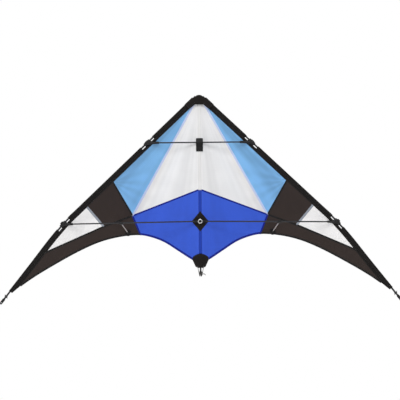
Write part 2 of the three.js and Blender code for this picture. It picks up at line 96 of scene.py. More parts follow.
SAIL_START = 5.2
SAIL_FRONT = 10.0
EDGE_SAIL_FRONT = 8.8
SAIL_DEPTH = 110.0
SAIL_TOP = 350.0
RIDGE_SHARE = 0.48
NOSE_Z = 356.0
FOOT = (220.0, -34.0)
CLOTH = 0.35
THIN_RIM = 0.45                     # a sheet's edge, as a share of its thickness
LOWER_START_X = 4.5
LOWER_DROP = 4.9 / (LOWER_END_X - LOWER_START_X)

CROSS = (205.0, 18.0)
HEEL = (182.0, -41.0)
SHOULDER_Z = 122.0
WINDOW_Z = 48.0
WINDOW_HEEL = (292.0, -14.0)
TOE_Z = -91.0

FOLD_POINTS = [(-5, 395.15), (10, 381), (140, 258.4), (270, 135.7), (370, 41.3), (400, 13),
               (448, -41), (510, -120), (576, -203), (616, -253)]
TRAILING_POINTS = [(-20, -124), (SAIL_START, -124), (24, -116), (70, -87), (110, -62),
                   (150, -47), HEEL, (240, -45), (300, -59), (358, -83), (442, -128),
                   (510, -169), (566, -209), (590, -225)]


# ---------------------------------------------------------------- outlines
def smooth_line(points, per_span=60):
    """A centripetal Catmull-Rom line through the points."""
    p = np.array(points, float)
    p = np.vstack([2 * p[0] - p[1], p, 2 * p[-1] - p[-2]])
    out = []
    for a, b, c, d in zip(p, p[1:], p[2:], p[3:]):
        ta, tb, tc = (max(np.linalg.norm(q - r) ** 0.5, 1e-6) for q, r in ((b, a), (c, b), (d, c)))
        m1 = ((b - a) / ta - (c - a) / (ta + tb) + (c - b) / tb) * tb
        m2 = ((c - b) / tb - (d - b) / (tb + tc) + (d - c) / tc) * tb
        t = np.linspace(0, 1, per_span, endpoint=False)[:, None]
        out.append((2 * t**3 - 3 * t**2 + 1) * b + (t**3 - 2 * t**2 + t) * m1
                   + (3 * t**2 - 2 * t**3) * c + (t**3 - t**2) * m2)
    return np.vstack([*out, p[-2:-1]])


def lengths(line):
    """How far along a line each of its points lies."""
    return np.concatenate([[0], np.cumsum(np.linalg.norm(np.diff(line, axis=0), axis=1))])


def unit(way):
    """The same direction, or directions, with a length of 1."""
    way = np.asarray(way, float)
    return way / np.linalg.norm(way, axis=-1, keepdims=True)


FOLD = smooth_line(FOLD_POINTS)
FOLD_AT = lengths(FOLD) - math.dist(FOLD_POINTS[0], FOLD_POINTS[1])
FOLD_WAY = unit(np.gradient(FOLD, axis=0))
TRAILING = smooth_line(TRAILING_POINTS)


def edge_at(distance, inset):
    """Places at distances along the leading edge's fold, moved inwards by inset: x and z."""
    distance, inset = np.broadcast_arrays(np.asarray(distance, float), np.asarray(inset, float))
    x, z, dx, dz = (np.interp(distance, FOLD_AT, c) for c in (*FOLD.T, *FOLD_WAY.T))
    return np.stack([x + dz * inset, z - dx * inset], axis=-1)


def along_at_height(height, inset):
    """How far along the leading edge its inset line comes down to a height."""
    line = edge_at(FOLD_AT, inset)
    return np.interp(-np.asarray(height, float), -line[:, 1], FOLD_AT)


INNER = edge_at(FOLD_AT, SLEEVE_WIDTH)
SLEEVE_END = float(along_at_height(-203, 0))
UPPER_JOINT = float(along_at_height(UPPER_Z, ROD_INSET))
LOWER_JOINT = float(along_at_height(-5, ROD_INSET))


def trailing_z(x):
    return np.interp(x, TRAILING[:, 0], TRAILING[:, 1])


def streaks(x, z, side):
    """Painted light and shade of fine creases that run out from the nose and from the upper
    connector, from -1 to 1.
    """
    turn = np.arctan2(x, NOSE_Z + 12 - z)
    broad = np.sin(turn * 21 + 1.2 + 0.4 * side)
    fine = np.sin(turn * 57 + side) * np.sin(turn * 23 + 2.1 * side) + 0.4 * np.sin(turn * 97)
    corner = np.arctan2(z - 120, 262 - x)
    from_corner = np.sin(corner * 17 + side) * np.exp(-np.hypot(x - 262, z - 120) / 110)
    return np.clip(0.5 * broad + 0.35 * fine + 0.5 * from_corner, -1, 1)


def slack(x, z, share, side):
    """The small folds that the sewn cloth keeps: they fan from the nose and from the stand-off."""
    own = 0.9 * side
    away = np.hypot(x, NOSE_Z - z)
    turn = np.arctan2(x, NOSE_Z - z)
    fan = np.sin(turn * 31 + own + 1.3 * np.sin(away / 90)) * np.clip(away / 420, 0, 1)
    foot_away = np.hypot(x - FOOT[0], z - FOOT[1])
    foot_turn = np.arctan2(z - FOOT[1], x - FOOT[0])
    pull = np.sin(foot_turn * 13 + own) * np.exp(-foot_away / 95) * np.clip(foot_away / 30, 0, 1)
    drift = np.sin(x / 47 + z / 83 + own) * np.sin(z / 59 - x / 101)
    hold = np.clip(4 * share * (1 - share), 0, 1)
    return (0.7 * fan + 1.0 * pull + 0.9 * drift) * hold


def sail_y(x, z, side):
    """How far back the front of the sail lies; x is counted outwards from the spine."""
    x, z = np.abs(np.asarray(x, float)), np.asarray(z, float)
    edge = np.interp(-np.minimum(z, SAIL_TOP), -INNER[:, 1], INNER[:, 0])
    share = np.clip((x - SAIL_START) / (edge - SAIL_START), 0, 1)
    tent = np.where(share < RIDGE_SHARE, share / RIDGE_SHARE, (1 - share) / (1 - RIDGE_SHARE))
    swell = np.sin(math.pi * share ** (math.log(0.5) / math.log(RIDGE_SHARE)))
    deepest = SAIL_DEPTH * (NOSE_Z - z) / (NOSE_Z - FOOT[1])
    flat = SAIL_FRONT + (EDGE_SAIL_FRONT - SAIL_FRONT) * share
    return flat + deepest * (0.7 * soft_ridge(tent) + 0.3 * swell) + slack(x, z, share, side)


def soft_ridge(tent):
    """Rounds the top of the tent over a few centimetres."""
    round_from = 0.86
    over = np.clip(tent - round_from, 0, None)
    return tent - over**2 / (2 * (1 - round_from)) * 0.5


def straight(start, end, count):
    """Points at even steps from start to end."""
    t = np.linspace(0, 1, count)[:, None]
    return np.array(start, float) * (1 - t) + np.array(end, float) * t


def inner_edge(high, low, count):
    """Where the sail meets the sleeve's band, between two heights."""
    ends = along_at_height([high, low], SLEEVE_WIDTH)
    return edge_at(np.linspace(ends[0], ends[1], count), SLEEVE_WIDTH)


def trailing(start_x, end_x, count):
    """The sail's free edge between two distances from the spine."""
    x = np.linspace(start_x, end_x, count)
    return np.stack([x, trailing_z(x)], axis=1)


def chained(*lines):
    """Lines joined end to end, each starting where the last one stopped."""
    return np.vstack([lines[0], *[line[1:] for line in lines[1:]]])


def resampled(line, step):
    """The same line with its points at even steps."""
    line = np.asarray(line, float)
    at = lengths(line)
    count = max(2, int(math.ceil(at[-1] / step)) + 1)
    t = np.linspace(0, at[-1], count)
    return np.stack([np.interp(t, at, line[:, k]) for k in range(line.shape[1])], axis=1)


def beside(line, distance):
    """The same line moved sideways by a distance."""
    line = resampled(line, 4.0)
    return line + sideways(line) * distance


def sideways(line):
    """Directions at right angles to a line in x and z."""
    way = unit(np.gradient(line, axis=0))
    return np.stack([-way[:, 1], way[:, 0]], axis=1)


def on_sail(side, line, lift, step=2.5):
    """A line given in x and z, laid on the sail's surface; a negative lift is behind it."""
    line = resampled(line, step)
    y = sail_y(line[:, 0], line[:, 1], side) + CLOTH / 2 - lift
    return np.stack([side * line[:, 0], y, line[:, 1]], axis=1)


def along_edge(side, at, inset, y):
    """A line beside the leading edge, at a depth y."""
    place = edge_at(at, inset)
    return np.stack([side * place[:, 0], y + np.zeros(len(place)), place[:, 1]], axis=1)


# ---------------------------------------------------------------- meshes
def added(name, data):
    """A new object in the scene."""
    thing = bpy.data.objects.new(name, data)
    bpy.context.scene.collection.objects.link(thing)
    return thing


def flat_grid(u, v):
    """The flat place of each point of a grid, from distances along it and across it."""
    return np.stack(np.meshgrid(u, v, indexing="ij"), axis=2)


def mesh_piece(name, points, faces, uv=None, smooth=True):
    """A piece from points in millimetres."""
    mesh = bpy.data.meshes.new(name)
    mesh.from_pydata((np.asarray(points, float) * MM).tolist(), [], [tuple(f) for f in faces])
    if uv is not None:
        layer = mesh.uv_layers.new(name="cloth")
        corner = np.zeros(len(mesh.loops), np.int32)
        mesh.loops.foreach_get("vertex_index", corner)
        layer.data.foreach_set("uv", (np.asarray(uv, float)[corner] * MM).astype(np.float32).ravel())
    mesh.validate()
    facing_out(mesh)
    if smooth:
        mesh.shade_smooth()
    return added(name, mesh)


def facing_out(mesh):
    """Turns every face outwards."""
    work = bmesh.new()
    work.from_mesh(mesh)
    bmesh.ops.recalc_face_normals(work, faces=work.faces)
    work.to_mesh(mesh)
    work.free()


def grid_faces(rows, columns, start=0, ring=False):
    """Four-sided faces over a grid of points, closed across if it is a ring."""
    last = columns if ring else columns - 1
    i, j = np.meshgrid(np.arange(rows - 1), np.arange(last), indexing="ij")
    i, j = i.ravel(), j.ravel()
    right = (j + 1) % columns
    a, b = i * columns + j, i * columns + right
    c, d = (i + 1) * columns + right, (i + 1) * columns + j
    return (np.stack([a, b, c, d], axis=1) + start).tolist()


def thick_sheet(name, points, uv, thickness):
    """A closed sheet: both faces of a grid of points, and a rim round its edge."""
    rows, columns = points.shape[:2]
    along, across = np.gradient(points, axis=0), np.gradient(points, axis=1)
    normal = np.cross(along, across)
    normal /= np.maximum(np.linalg.norm(normal, axis=2, keepdims=True), 1e-9)
    half = np.full((rows, columns, 1), thickness / 2)
    half[[0, -1]] *= THIN_RIM
    half[:, [0, -1]] *= THIN_RIM
    layers = [points - normal * half, points + normal * half]
    size = rows * columns
    faces = grid_faces(rows, columns) + grid_faces(rows, columns, size)
    number = np.arange(size).reshape(rows, columns)
    loop = [*number[0], *number[1:, -1], *number[-1, -2::-1], *number[-2:0:-1, 0]]
    faces += [(a, b, b + size, a + size) for a, b in zip(loop, loop[1:] + loop[:1])]
    flat_uv = np.vstack([uv.reshape(-1, 2)] * 2)
    return mesh_piece(name, np.vstack([layer.reshape(-1, 3) for layer in layers]), faces, flat_uv)


def sail_sheet(name, side, first, second, grain=0.0, thickness=CLOTH, lift=0.0, step=4.0):
    """Cloth between two edges, in x and z, lying on the sail's surface on one side of the spine."""
    first, second = np.asarray(first, float), np.asarray(second, float)
    width = np.linalg.norm(second - first, axis=1).max()
    columns = max(3, int(width / step) + 1)
    t = np.linspace(0, 1, columns)[None, :, None]
    flat = first[:, None] * (1 - t) + second[:, None] * t
    x, z = flat[..., 0], flat[..., 1]
    points = np.stack([side * x, sail_y(x, z, side) + CLOTH / 2 - lift, z], axis=2)
    turn = np.array([[math.cos(grain), -math.sin(grain)], [math.sin(grain), math.cos(grain)]])
    cloth = thick_sheet(name, points, flat @ turn, thickness)
    # Painted crease light and shade, fainter near the nose, stored on the cloth for its colour.
    painted_crease_shade = cloth.data.attributes.new("painted_crease_shade", "FLOAT", "POINT")
    depth = streaks(x, z, side) * np.clip(np.hypot(x, NOSE_Z - z) / 120, 0.35, 1)
    painted_crease_shade.data.foreach_set("value", np.tile(depth.ravel(), 2).astype(np.float32))
    return cloth


def ribbon(name, side, line, width, thickness):
    """A flat sewn tape that follows a line on the sail and shows on both faces."""
    line = resampled(line, 4.0)
    across = sideways(line)
    half = [(-0.5, 0), (-0.44, 0.42), (-0.2, 0.5), (0.2, 0.5), (0.44, 0.42)]
    outline = half + [(-offset, -height) for offset, height in half]
    rings = []
    for offset, height in outline:
        at = line + across * offset * width
        y = sail_y(at[:, 0], at[:, 1], side) + CLOTH / 2 + height * thickness
        rings.append(np.stack([side * at[:, 0], y, at[:, 1]], axis=1))
    uv = flat_grid(lengths(line), [offset * width for offset, _ in outline])
    return swept(name, np.stack(rings, axis=1), uv)


def swept(name, points, uv, hole=None):
    """A skin over rings of points, capped at both ends, or a shell if it has a hole."""
    rows, count = points.shape[:2]
    faces = grid_faces(rows, count, ring=True)
    if hole is None:
        faces += [tuple(range(count)), tuple(range((rows - 1) * count, rows * count))]
        return mesh_piece(name, points.reshape(-1, 3), faces, uv.reshape(-1, 2))
    size = rows * count
    faces += grid_faces(rows, count, size, ring=True)
    last = (rows - 1) * count
    for j in range(count):
        k = (j + 1) % count
        faces += [(j, k, k + size, j + size), (last + j, last + k, last + k + size, last + j + size)]
    both = np.vstack([points.reshape(-1, 3), hole.reshape(-1, 3)])
    return mesh_piece(name, both, faces, np.vstack([uv.reshape(-1, 2)] * 2))


def round_frame(way):
    """Two directions at right angles to a way and to each other."""
    aid = (0, 0, 1.0) if abs(way[2]) < 0.9 else (1.0, 0, 0)
    side = unit(np.cross(way, aid))
    return side, np.cross(way, side)


def frames_along(path):
    """Directions across a path, turned as little as possible from one point to the next."""
    ways = unit(np.gradient(path, axis=0))
    side, sides = round_frame(ways[0])[0], []
    for way in ways:
        side = unit(side - way * (side @ way))
        sides.append(side)
    return np.array(sides), np.cross(ways, sides)


def rings_round(path, side, up, radii, around):
    """Rings of points round a path, and the angles that they are at."""
    angle = np.linspace(0, WHOLE_TURN, around, endpoint=False)
    side, up = (np.broadcast_to(way, path.shape)[:, None] for way in (side, up))
    ring = np.cos(angle)[None, :, None] * side + np.sin(angle)[None, :, None] * up
    return path[:, None] + ring * radii[:, None, None], angle


def tube(name, path, radius, around=24, ends=0.0):
    """A round bar along a path; radius may change along it, and ends rounds its tips."""
    path = np.asarray(path, float)
    radii = np.broadcast_to(np.asarray(radius, float), (len(path),))
    if ends:
        path, radii = with_round_ends(path, radii, ends)
    points, angle = rings_round(path, *frames_along(path), radii, around)
    return swept(name, points, flat_grid(lengths(path), angle / WHOLE_TURN * 10))


def with_round_ends(path, radii, size):
    """Adds short steps at both ends of a path over which its radius closes in a quarter round."""
    shrink = np.array([0.05, 0.4, 0.7, 0.92])
    depth = (size * (1 - np.sqrt(1 - shrink**2)))[:, None]
    way_in, way_out = unit(path[1] - path[0]), unit(path[-1] - path[-2])
    near, far = radii[0] - size * (1 - shrink), radii[-1] - size * (1 - shrink)
    body = path.copy()
    body[0], body[-1] = path[0] + way_in * size, path[-1] - way_out * size
    ends = path[0] + way_in * depth, (path[-1] - way_out * depth)[::-1]
    return np.vstack([ends[0], body, ends[1]]), np.concatenate([near, radii, far[::-1]])


def turned(name, profile, start, way, around=48):
    """A turned shape: profile is (distance along way, radius) from start, closed on the axis."""
    way, profile = unit(way), np.array(profile, float)
    path = np.asarray(start, float) + way * profile[:, :1]
    points, angle = rings_round(path, *round_frame(way), profile[:, 1], around)
    return swept(name, points, flat_grid(np.arange(len(profile)), angle))


def plain_mesh(piece):
    """Replaces a piece's mesh by what its modifiers make of it."""
    made = bpy.data.meshes.new_from_object(
        piece.evaluated_get(bpy.context.evaluated_depsgraph_get()))
    piece.modifiers.clear()
    piece.data = made
    return piece


def gathered(name, parts):
    """Several parts as one piece, each keeping its own shape."""
    work = bmesh.new()
    for part in parts:
        work.from_mesh(part.data)
        bpy.data.objects.remove(part)
    mesh = bpy.data.meshes.new(name)
    work.to_mesh(mesh)
    work.free()
    return added(name, mesh)


def mirrored_copy(piece, name):
    """The same piece on the other side of the spine."""
    mesh = piece.data.copy()
    mesh.transform(Matrix.Scale(-1, 4, (1, 0, 0)))
    mesh.flip_normals()
    return added(name, mesh)


def slot_cutter(low, high, bevel):
    """A box between two corners, with its edges rounded."""
    corners = [[(low, high)[(k >> a) & 1][a] for a in range(3)] for k in range(8)]
    faces = [(0, 2, 3, 1), (4, 5, 7, 6), (0, 1, 5, 4), (2, 6, 7, 3), (0, 4, 6, 2), (1, 3, 7, 5)]
    piece = mesh_piece("slot", corners, faces, smooth=False)
    trim = piece.modifiers.new("trim", "BEVEL")
    trim.width, trim.segments = bevel * MM, 3
    return plain_mesh(piece)


def outlined(name, section, start, way, around=48):
    """A ring turned round a line: section is a closed outline of (distance along it, radius)."""
    way, section = unit(way), np.array(section, float)
    path = np.asarray(start, float) + way * section[:, :1]
    points = rings_round(path, *round_frame(way), section[:, 1], around)[0].swapaxes(0, 1)
    count = around * len(section)
    faces = [tuple(k % count for k in face)
             for face in grid_faces(around + 1, len(section), ring=True)]
    return mesh_piece(name, points.reshape(-1, 3), faces)


def fused(parts, voxel=0.42):
    """Moulds several closed parts into one body with soft corners where they meet."""
    piece = gathered("moulded", parts)
    melt = piece.modifiers.new("melt", "REMESH")
    melt.mode, melt.voxel_size, melt.use_smooth_shade = "VOXEL", voxel * MM, True
    ease = piece.modifiers.new("ease", "SMOOTH")
    ease.factor, ease.iterations = 0.5, 3
    return plain_mesh(piece)


def carved(piece, *tools):
    """Cuts tools out of a piece and removes them."""
    for tool in tools:
        bite = piece.modifiers.new("bite", "BOOLEAN")
        bite.object, bite.operation, bite.solver = tool, "DIFFERENCE", "EXACT"
    plain_mesh(piece)
    for tool in tools:
        bpy.data.objects.remove(tool)
    return piece


def pair(name, make):
    """Makes a piece for the kite's right side and its mirror image for the left."""
    right = make(f"{name}_right")
    return {"right": right, "left": mirrored_copy(right, f"{name}_left")}


# ---------------------------------------------------------------- stitches
def stitch_rows():
    """Lays short lengths of thread along every line of a mesh."""
    tree = bpy.data.node_groups.new("stitch_rows", "GeometryNodeTree")

    def socket(label, kind="Float", in_out="INPUT"):
        tree.interface.new_socket(label, in_out=in_out, socket_type=f"NodeSocket{kind}")

    socket("Geometry", "Geometry")
    for label in ("Spacing", "Stitch length", "Thread radius"):
        socket(label)
    socket("Thread", "Material")
    socket("Geometry", "Geometry", "OUTPUT")
    given, curve, places, stitch, laid, real, dyed, result = (tree.nodes.new(kind) for kind in (
        "NodeGroupInput", "GeometryNodeMeshToCurve", "GeometryNodeCurveToPoints",
        "GeometryNodeMeshCylinder", "GeometryNodeInstanceOnPoints",
        "GeometryNodeRealizeInstances", "GeometryNodeSetMaterial", "NodeGroupOutput"))
    places.mode = "LENGTH"
    stitch.inputs["Vertices"].default_value = 5
    for source, output, target, entry in (
            (given, "Geometry", curve, "Mesh"), (curve, "Curve", places, "Curve"),
            (given, "Spacing", places, "Length"), (given, "Thread radius", stitch, "Radius"),
            (given, "Stitch length", stitch, "Depth"), (places, "Points", laid, "Points"),
            (places, "Rotation", laid, "Rotation"), (stitch, "Mesh", laid, "Instance"),
            (laid, "Instances", real, "Geometry"), (real, "Geometry", dyed, "Geometry"),
            (given, "Thread", dyed, "Material"), (dyed, "Geometry", result, "Geometry")):
        tree.links.new(source.outputs[output], target.inputs[entry])
    return tree


STITCH_ROWS = stitch_rows()
THREAD_RADIUS = 0.22


def sewn(name, lines, thread, spacing, length):
    """Stitches along lines of points in millimetres."""
    points, edges = [], []
    for line in lines:
        edges += [(len(points) + i, len(points) + i + 1) for i in range(len(line) - 1)]
        points += (np.asarray(line, float) * MM).tolist()
    mesh = bpy.data.meshes.new(name)
    mesh.from_pydata(points, edges, [])
    piece = added(name, mesh)
    rows = piece.modifiers.new("rows", "NODES")
    rows.node_group = STITCH_ROWS
    values = {"Spacing": spacing * MM, "Stitch length": length * MM,
              "Thread radius": THREAD_RADIUS * MM, "Thread": LOOKS[thread].material}
    for socket in STITCH_ROWS.interface.items_tree:
        if socket.in_out == "INPUT" and socket.name in values:
            rows[socket.identifier] = values[socket.name]
    return plain_mesh(piece)


# ---------------------------------------------------------------- finishes
class Value:
    """A shader value; Python's operators add the Math nodes."""

    def __init__(self, look, socket):
        self.look, self.socket = look, socket

    def maths(self, operation, first, second=0.0):
        return self.look.node("ShaderNodeMath", {"operation": operation}, {0: first, 1: second})

    def __add__(self, other):
        return self.maths("ADD", self, other)

    def __sub__(self, other):
        return self.maths("SUBTRACT", self, other)

    def __mul__(self, other):
        return self.maths("MULTIPLY", self, other)

    def __rsub__(self, other):
        return self.maths("SUBTRACT", other, self)

    __radd__, __rmul__ = __add__, __mul__

    def wave(self, period):
        """From 0 to 1 and back once in each period."""
        return self.maths("SINE", self * (WHOLE_TURN / period)) * 0.5 + 0.5

    def power(self, exponent):
        return self.maths("POWER", self, exponent)


class Look:
    """A material that is being built on one Principled shader."""

    def __init__(self, name, **constants):
        self.material = bpy.data.materials.new(name)
        self.material.use_nodes = True
        self.tree = self.material.node_tree
        self.shader = self.tree.nodes["Principled BSDF"]
        for socket, value in constants.items():
            self.shader.inputs[socket.replace("_", " ")].default_value = value

    def node(self, kind, settings=None, inputs=None, output=0):
        made = self.tree.nodes.new(kind)
        for setting, value in (settings or {}).items():
            setattr(made, setting, value)
        for key, value in (inputs or {}).items():
            if isinstance(value, Value):
                self.tree.links.new(value.socket, made.inputs[key])
            else:
                made.inputs[key].default_value = value
        return Value(self, made.outputs[output])

    def give(self, socket, value):
        """Lets a value drive one of the shader's inputs."""
        self.tree.links.new(value.socket, self.shader.inputs[socket])

    def place(self, source="Object"):
        """The place on the piece, or with UV the place on its flat cloth."""
        return self.node("ShaderNodeTexCoord", output=source)

    def parts(self, vector):
        """A vector's first two components."""
        split = self.node("ShaderNodeSeparateXYZ", None, {0: vector})
        return split, Value(self, split.socket.node.outputs["Y"])

    def stretched(self, vector, scale):
        return self.node("ShaderNodeMapping", None, {"Vector": vector, "Scale": scale})

    def noise(self, vector, scale, detail, rough=0.5):
        return self.node("ShaderNodeTexNoise", None, {
            "Vector": vector, "Scale": scale, "Detail": detail, "Roughness": rough})

    def dye(self, share, first, second):
        """Gives the base colour: from the first to the second colour by share."""
        self.give("Base Color", self.node("ShaderNodeMix", {"data_type": "RGBA"}, {
            0: share, 6: (*first, 1), 7: (*second, 1)}, output=2))

    def bump(self, height, distance, strength, under=None):
        """A Normal from a height, over a distance in millimetres."""
        inputs = {"Height": height, "Distance": distance * MM, "Strength": strength}
        if under:
            inputs["Normal"] = under
        return self.node("ShaderNodeBump", None, inputs)


def shade(colour, factor):
    """A lighter or darker colour."""
    return tuple(min(1.0, c * factor) for c in colour)


def grid_of_threads(u, v, period, share):
    """1 on the thicker threads that cross every few millimetres, else 0."""
    lines = [across.wave(period * MM).power(1 / share) for across in (u, v)]
    return lines[0].maths("MAXIMUM", lines[0], lines[1])


def ripstop(name, colour, depth=0.05, crinkle=0.5, rough=0.5, sheen=0.06, crease_shading=0.0,
            gloss=0.3, spread=0.07):
    """Thin woven sail cloth: a square grid of thicker threads, soft folds, an uneven dye, and where
    asked painted light and shade of creases.
    """
    look = Look(name, Roughness=rough, Sheen_Weight=sheen, Sheen_Roughness=0.35,
                Specular_IOR_Level=gloss)
    place = look.place("UV")
    u, v = look.parts(place)
    threads = grid_of_threads(u, v, 5.0, 0.09)
    cloudy = look.noise(place, 16.0, 3.0)
    fine = look.noise(place, 900.0, 2.0)
    light = (cloudy - 0.5) * 1.1 + (fine - 0.5) * 0.25 + 0.5 - threads * depth * 4
    # Painted light and shade of creases, read from the cloth's attribute, shifts the colour.
    if crease_shading:
        painted_crease_shade = look.node("ShaderNodeAttribute", {"attribute_name": "painted_crease_shade"}, output="Fac")
        light = light + painted_crease_shade * crease_shading
    look.dye(light, shade(colour, 1 - spread), shade(colour, 1 + spread))
    look.give("Roughness", rough - 0.08 + cloudy * 0.16)
    weave = u.wave(0.5 * MM) * v.wave(0.5 * MM)
    folds = look.noise(look.stretched(place, (1.0, 0.55, 1.0)), 55.0, 3.0, 0.55)
    look.give("Normal", look.bump(threads + weave * 0.25, 0.12, 0.5,
                                  look.bump(folds, 1.4, crinkle)))
    return look


def woven(name, colour, period, depth=0.35, rough=0.8):
    """Coarser black cloth: ribs across its length and a visible weave."""
    look = Look(name, Roughness=rough, Sheen_Weight=0.03, Sheen_Roughness=0.5,
                Specular_IOR_Level=0.12)
    place = look.place("UV")
    u, v = look.parts(place)
    weave = u.wave(period * MM) * 0.7 + v.wave(period * MM * 0.6) * 0.6
    worn = look.noise(place, 45.0, 3.0)
    look.dye(weave * 0.5 + (worn - 0.5) * 0.9, shade(colour, 0.7), shade(colour, 1.7))
    look.give("Roughness", rough - 0.1 + worn * 0.2)
    look.give("Normal", look.bump(weave, 0.35, depth))
    return look


def rod_finish(name, colour, rough):
    """Drawn fibre rod: faint streaks along it and a satin surface with small scuffs."""
    look = Look(name, Roughness=rough, Specular_IOR_Level=0.35)
    place = look.place("UV")
    streaks = look.noise(look.stretched(place, (14.0, 1500.0, 1.0)), 1.0, 3.0)
    scuffs = look.noise(look.stretched(place, (120.0, 700.0, 1.0)), 1.0, 4.0, 0.65)
    look.dye(streaks, shade(colour, 0.75), shade(colour, 1.3))
    look.give("Roughness", rough - 0.08 + scuffs * 0.22)
    look.give("Normal", look.bump(streaks, 0.06, 0.35))
    return look


def moulded(name, colour, rough=0.5):
    """Soft black vinyl from a mould: a fine grain and slightly shinier high spots."""
    look = Look(name, Roughness=rough, Specular_IOR_Level=0.25)
    place = look.place()
    grain = look.noise(place, 1400.0, 2.0)
    patches = look.noise(place, 120.0, 3.0)
    look.dye(patches, shade(colour, 0.75), shade(colour, 1.5))
    look.give("Roughness", rough - 0.1 + patches * 0.22)
    look.give("Normal", look.bump(grain, 0.1, 0.3))
    return look


def plated(name, colour):
    """Bright plate with faint marks."""
    look = Look(name, Metallic=1.0, Roughness=0.22)
    marks = look.noise(look.stretched(look.place(), (1.0, 1.0, 5.0)), 500.0, 3.0)
    look.dye(marks, shade(colour, 0.9), colour)
    look.give("Roughness", 0.14 + marks * 0.22)
    return look


def braided(name, colour):
    """Braided cord: strands that cross along its length."""
    look = Look(name, Roughness=0.8, Sheen_Weight=0.3)
    u, v = look.parts(look.place("UV"))
    strands = (u + v * 0.35).wave(1.6 * MM) * 0.5 + (u - v * 0.35).wave(1.6 * MM) * 0.5
    look.dye(strands, shade(colour, 0.55), shade(colour, 1.15))
    look.give("Normal", look.bump(strands, 0.3, 0.8))
    return look


def thread_finish(name, colour):
    """Sewing thread: a fine twist of lighter and darker strands."""
    look = Look(name, Roughness=0.6, Sheen_Weight=0.2)
    twist = look.noise(look.place(), 1500.0, 1.0)
    look.dye(twist, shade(colour, 0.7), shade(colour, 1.2))
    return look


WHITE, PALE_BLUE, ROYAL = (0.73, 0.722, 0.722), (0.17, 0.39, 0.675), (0.026, 0.086, 0.56)
DARK, WINDOW, BLACK = (0.031, 0.0215, 0.0185), (0.835, 0.825, 0.82), (0.009, 0.0078, 0.0072)
NAVY = (0.001, 0.009, 0.22)

# Where given, the crease number sets how strong each cloth's painted crease light and shade is; the
# pale blue's wider spread strengthens it as well as its uneven dye.
LOOKS = {
    "white": ripstop("white_ripstop", WHITE, crease_shading=0.5),
    "pale_blue": ripstop("pale_blue_ripstop", PALE_BLUE, crease_shading=0.75, spread=0.16),
    "royal": ripstop("royal_ripstop", ROYAL, crease_shading=0.4),
    "dark": ripstop("dark_ripstop", DARK, rough=0.6, crease_shading=0.4, sheen=0.02, gloss=0.15),
    "window": ripstop("window_ripstop", WINDOW, crinkle=0.6, crease_shading=0.35),
    # The pocket cloths are darker for their double layer and for a painted shadow of the spine
    # behind them.
    "white_pocket_spine_shadow": ripstop("white_double_cloth_spine_shadow", shade(WHITE, 0.9)),
    "royal_pocket_spine_shadow": ripstop("royal_double_cloth_spine_shadow", (0.006, 0.035, 0.33), sheen=0.02, gloss=0.2),
    "pale_tape": ripstop("pale_blue_seam_tape", (0.48, 0.55, 0.79), crinkle=0.2),
    "navy_tape": ripstop("navy_seam_tape", NAVY, crinkle=0.2, sheen=0.02, gloss=0.15),
    "grey_tape": ripstop("grey_seam_tape", (0.3, 0.33, 0.38), crinkle=0.2),
    "black_tape": ripstop("black_seam_tape", BLACK, rough=0.65, crinkle=0.2, sheen=0.02,
                          gloss=0.15),
    "sleeve": woven("ribbed_sleeve_cloth", BLACK, 2.6),
    "patch": woven("patch_webbing", (0.0105, 0.0084, 0.0076), 1.8),
    "strap": woven("strap_webbing", (0.012, 0.012, 0.0125), 1.5),
    "strap_pad": woven("strap_loop_pile", (0.026, 0.026, 0.027), 2.2, depth=0.7, rough=0.9),
    "rod": rod_finish("fibre_rod", (0.01, 0.01, 0.0125), 0.42),
    "standoff_rod": rod_finish("standoff_fibre_rod", (0.36, 0.32, 0.3), 0.45),
    "vinyl": moulded("black_vinyl", (0.0075, 0.0072, 0.0075)),
    "metal": plated("nickel_plate", (0.75, 0.75, 0.77)),
    "dark_cord": braided("dark_braid", (0.025, 0.024, 0.024)),
    "pale_cord": braided("pale_braid", (0.06, 0.056, 0.052)),
    "dark_thread": thread_finish("dark_thread", (0.03, 0.029, 0.03)),
    "pale_thread": thread_finish("pale_thread", (0.6, 0.62, 0.66)),
    "navy_thread": thread_finish("navy_thread", (0.015, 0.03, 0.22)),
}


# A bend beside the spine, between these distances from it, at this depth and height; fitted only
# makes two points from them and bends nothing.
BEND_FROM, BEND_TO, BEND_Y, BEND_Z = 4.5, 10.0, 10.3, 100.0


def fitted(piece, look, slot, body, stands_for=(), side=None):
    """Gives a piece its look and, without a side, what it moves with; with a side it is only baked
    in place and nothing bends it. slot is not used.
    """
    piece.data.materials.clear()
    piece.data.materials.append(LOOKS[look].material)
    if side:
        start, end = (Vector((side * x, BEND_Y, BEND_Z)) * MM for x in (BEND_FROM, BEND_TO))
        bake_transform(piece)
        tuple(start)
        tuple(end)
    else:
        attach(piece, body)
    if stands_for:
        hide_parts(*stands_for)
    return piece


def fit_pair(pieces, look, slot, node, part="wing"):
    """Fits a piece and its mirror image, each in place of its own node."""
    for side_name, _ in SIDES:
        fitted(pieces[side_name], look, slot, f"{side_name}_{part}", [f"{node}_{side_name}"])


def stitched(name, lines, thread, slot, body, side=None, spacing=3.6, length=2.5):
    """Stitches that move with the cloth that they hold."""
    return fitted(sewn(name, lines, thread, spacing, length), thread, slot, body, side=side)


def patch_stitches(name, lines, body, side=None, spacing=3.0, length=2.1):
    """Dark stitches round a patch of webbing."""
    return stitched(name, lines, "dark_thread", "patch", body, side, spacing, length)


def one_side(piece):
    """The area of one face of a thin closed piece, in square metres."""
    return sum(face.area for face in piece.data.polygons) / 2


def strip_of_cloth(piece, length, rests_on, *extras):
    """Works out the width of a strip whose length is known from the cloth in it, and keeps nothing.
    """
    one_side(piece) / (length * MM)
    length * MM


